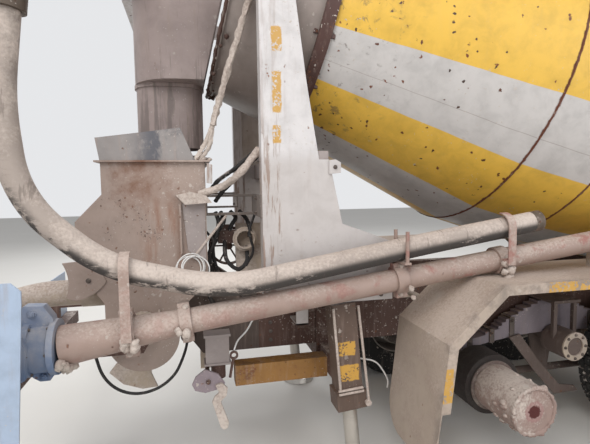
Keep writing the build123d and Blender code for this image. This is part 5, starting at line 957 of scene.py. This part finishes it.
# Clips around the leaf packs. Columns: distance from the trunnion, Z of the pack's underside and of its top
CLIPS = ((0.35, 0.728, 0.878), (0.52, 0.706, 0.800), (0.70, 0.676, 0.745))
CLIP_HALF = 0.02
CLIP_THICK = 0.008
PACK_INSIDE = 0.447
PACK_OUTSIDE = 0.545
bm = bmesh.new()
for side in (-1, 1):
    for away, low_z, high_z in CLIPS:
        for clip_x in (TRUNNION_X - away, TRUNNION_X + away):
            # Columns: nearer and farther Y, low and high Z
            for near, far, low, high in (
                (PACK_INSIDE, PACK_INSIDE + CLIP_THICK, low_z, high_z),
                (PACK_OUTSIDE, PACK_OUTSIDE + CLIP_THICK, low_z, high_z),
                (PACK_INSIDE, PACK_OUTSIDE + CLIP_THICK, high_z, high_z + CLIP_THICK),
            ):
                low_y, high_y = sorted((side * near, side * far))
                add_box(bm, (clip_x - CLIP_HALF, low_y, low), (clip_x + CLIP_HALF, high_y, high))
            bolt_at = (clip_x, side * (PACK_OUTSIDE + CLIP_THICK), high_z - CLIP_HALF)
            add_bolt(bm, bolt_at, (0, side, 0), 0.010)
build("spring_clips", bm, "cast")

# Thin rails and a frame on the jack legs. Columns: distance from the middle, then X and Z of both ends
JACK_RAILS = (
    (0.883, (-1.792, 1.16), (-1.724, 0.562)), (0.883, (-1.948, 1.15), (-1.905, 0.64)),
    (0.885, (-1.918, 0.64), (-1.762, 0.65)), (0.885, (-1.915, 0.618), (-1.758, 0.628)),
)
bm = bmesh.new()
for side in (-1, 1):
    for y, *ends in JACK_RAILS:
        add_tube(bm, [(x, side * y, z) for x, z in ends], 0.008, rough=0.2)
    add_prism(bm, (-1.728, side * 0.87, 0.55), (0, side, 0), 0.02, 0.025, sides=12)
    add_prism(bm, (-1.90, side * 0.80, 1.172), (0, 0, 1), 0.022, 0.006, sides=16)
build("jack_rails", bm, "crust")

# Treaded tyres in place of the smooth ones. Columns: distance across from the tyre's middle, radius
TYRE_ROWS = (
    (0.118, 0.2925), (0.134, 0.3), (0.146, 0.328), (0.15, 0.365), (0.15, 0.405), (0.146, 0.445),
    (0.138, 0.478), (0.128, 0.498), (0.118, 0.505),
)
TYRE_BORE = ((-0.10, 0.2935), (0.10, 0.2935))
TYRE_SIDES = 96
# Middle of each row of tread blocks, across from the tyre's middle
TREAD_ROWS = (-0.104, -0.052, 0.0, 0.052, 0.104)
TREAD_BLOCKS = 46
# Tread block's foot and top. Columns: radius, half length around the tyre, half width across it
TREAD_LEVELS = ((0.500, 0.029, 0.022), (0.5188, 0.02668, 0.02024))
SQUARE = ((-1, -1), (1, -1), (1, 1), (-1, 1))
# Wheel nuts. Columns: distance from the truck's middle, radius of the ring, count, size
NUT_RINGS = ((0.843, 0.1635, 10, 0.0125), (1.19, 0.118, 8, 0.009))


def add_tread_block(bm, middle, angle):
    """Tread block on a wheel whose axis goes through middle."""
    spoke = Vector((math.cos(angle), 0, math.sin(angle)))
    around = Vector((-math.sin(angle), 0, math.cos(angle)))
    rows = []
    for reach, long, wide in TREAD_LEVELS:
        rows.append([middle + spoke * reach + around * u * long + LEFT_OUT * v * wide for u, v in SQUARE])
    add_rows(bm, rows)


profile = [*TYRE_ROWS, *((-across, radius) for across, radius in reversed(TYRE_ROWS)), *TYRE_BORE]
WHEELS = (("rear_left", 1, REAR_AXLE_X), ("front_right", -1, FRONT_AXLE_X), ("front_left", 1, FRONT_AXLE_X))
for wheel, side, wheel_x in WHEELS:
    bm = bmesh.new()
    for twin in (-1, 1):
        centre = Vector((wheel_x, side * TWIN_MIDDLE + twin * TWIN_OFFSET, WHEEL_Z))
        rows = [circle(centre + LEFT_OUT * y, LEFT_OUT, radius, TYRE_SIDES) for y, radius in profile]
        add_rows(bm, rows, closed=True)
        for track, across in enumerate(TREAD_ROWS):
            for i in range(TREAD_BLOCKS):
                angle = 2 * math.pi * (i + 0.5 * (track % 2)) / TREAD_BLOCKS
                add_tread_block(bm, centre + LEFT_OUT * across, angle)
    tyre = build(f"treaded_tyres_{wheel}", bm, "tyre_rubber", f"wheels_{wheel}", sharp=35)
    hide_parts(f"tyres_{wheel}")
    bm = bmesh.new()
    for y, ring_r, count, size in NUT_RINGS:
        for at in circle((wheel_x, side * y, WHEEL_Z), (0, side, 0), ring_r, count):
            add_bolt(bm, at, (0, side, 0), size)
    build(f"wheel_nuts_{wheel}", bm, "cast", f"wheels_{wheel}")

# Crust on the bare hub's tube
HUB_SEED = 500
CRUST_REACH = 0.15
bm = bmesh.new()
add_torus(bm, (REAR_AXLE_X, HUB_END_Y, WHEEL_Z), RIGHT_OUT, 0.141, 0.013, count=72, rough=0.9, seed=5)
for seed in range(HUB_SEED, HUB_SEED + 30):
    chance = random.Random(seed)
    turn = 2 * math.pi * chance.random()
    at_y = -1.0 - 0.18 * chance.random()
    at = (REAR_AXLE_X + CRUST_REACH * math.cos(turn), at_y, WHEEL_Z + CRUST_REACH * math.sin(turn))
    add_lump(bm, at, 0.008 + 0.012 * chance.random(), seed, squash=(1, 1.6, 1))
build("hub_crust", bm, "hub_rear_right", "hub_rear_right", sharp=80)

# Drum's weld beads. Columns: distance along the axis, radius
WELDS = ((0.0, 1.177), (0.52, 1.218), (1.7, 1.218), (3.1, 0.842))
bm = bmesh.new()
for weld_s, weld_r in WELDS:
    weld_at = drum_point(weld_s, 0, 0)
    add_torus(bm, weld_at, DRUM_ALONG, weld_r, 0.006, count=160, sides=6, rough=0.5, seed=3)
build("drum_welds", bm, "weld_rust", "drum", sharp=80)

# Crust on the rim of the drum's mouth
MOUTH_SEED = 700
bm = bmesh.new()
add_torus(bm, drum_point(-1.992, 0, 0), DRUM_ALONG, 0.686, 0.011, count=140, rough=1.1, seed=9)
for seed in range(MOUTH_SEED, MOUTH_SEED + 34):
    chance = random.Random(seed)
    at = drum_point(-1.985 + 0.05 * chance.random(), 0.69 + 0.01 * chance.random(), 360 * chance.random())
    add_lump(bm, at, 0.008 + 0.009 * chance.random(), seed)
build("mouth_crust", bm, "frame_dark", "drum", sharp=80)

# Wedges that hold the riding ring on the drum's cone
RING_WEDGES = 16
WEDGE_LENGTH = 0.024
bm = bmesh.new()
for i in range(RING_WEDGES):
    for away in (-0.052, 0.052):
        foot_s = RIDING_RING_S + away - WEDGE_LENGTH / 2
        foot = drum_point(foot_s, 0.796 + 0.27 * away, 360 * i / RING_WEDGES)
        add_prism(bm, foot, DRUM_ALONG, 0.018, WEDGE_LENGTH, sides=4, turn=math.pi / 4)
build("ring_wedges", bm, "ring_steel", "drum")

# Hatch: a curved plate with nine bolts. Places along the drum's axis, radii, and angles around it
HATCH_S = (0.90, 1.32)
HATCH_R = (1.2165, 1.230)
HATCH_FROM = 62.0
HATCH_TO = 82.0
HATCH_STEPS = 10
bm = bmesh.new()
rows = []
for i in range(HATCH_STEPS + 1):
    degrees = HATCH_FROM + (HATCH_TO - HATCH_FROM) * i / HATCH_STEPS
    corners = ((0, 0), (1, 0), (1, 1), (0, 1))
    rows.append([drum_point(HATCH_S[s], HATCH_R[r], degrees) for s, r in corners])
add_rows(bm, rows)
for s in (0.93, 1.11, 1.29):
    for degrees in (63.5, 72.0, 80.5):
        at = drum_point(s, HATCH_R[1], degrees)
        add_bolt(bm, at, at - drum_point(s, 0, 0), 0.009)
build("drum_hatch", bm, "drum_paint", "drum")

# Drum drive: ribs, bolts and hoses
bm = bmesh.new()
for rib_s in (3.40, 3.43, 3.46, 3.49, 3.52):
    add_ring(bm, drum_point(rib_s, 0, 0), DRUM_ALONG, 0.229, 0.213, 0.008, sides=48)
for at in circle(drum_point(3.552, 0, 0), DRUM_ALONG, 0.244, 12):
    add_bolt(bm, at, -DRUM_ALONG, 0.010)
build("drive_ribs", bm, "cast")
bm = bmesh.new()
for y in (-0.05, 0.05):
    start = drum_point(3.975, 0, 0) + Vector((0, y, 0))
    fall = ((3.55, y * 3, 1.55), (3.40, y * 4, 1.25), (3.25, y * 5, 1.199))
    add_tube(bm, (start, start + Vector((0.06, 0, -0.03)), *fall), 0.018)
build("drive_hoses", bm, "small_rubber")

# Tie rods along the pump's two cylinders, and bolts at its front end
bm = bmesh.new()
for side in (-1, 1):
    for rod_y in (0.04, 0.23):
        for rod_z in (0.90, 1.12):
            add_tube(bm, ((-2.80, side * rod_y, rod_z), (-2.05, side * rod_y, rod_z)), 0.012)
    for at in circle((-1.035, side * 0.135, 1.01), (1, 0, 0), 0.07, 6):
        add_bolt(bm, at, (1, 0, 0), 0.009)
build("pump_rods", bm, "rod_steel")

# Floor
FLOOR_SIZE = 60.0
bpy.ops.mesh.primitive_plane_add(size=FLOOR_SIZE)
floor = bpy.context.object
floor.name = "floor"
g = Graph("floor_pale")
floor_color = g.mix(g.noise(0.7, 4, 0.6), rgb(214, 211, 206), rgb(222, 220, 216))
floor.data.materials.append(g.finish(floor_color, 0.9, g.noise(60.0, 3, 0.6), strength=0.08, edge=0))
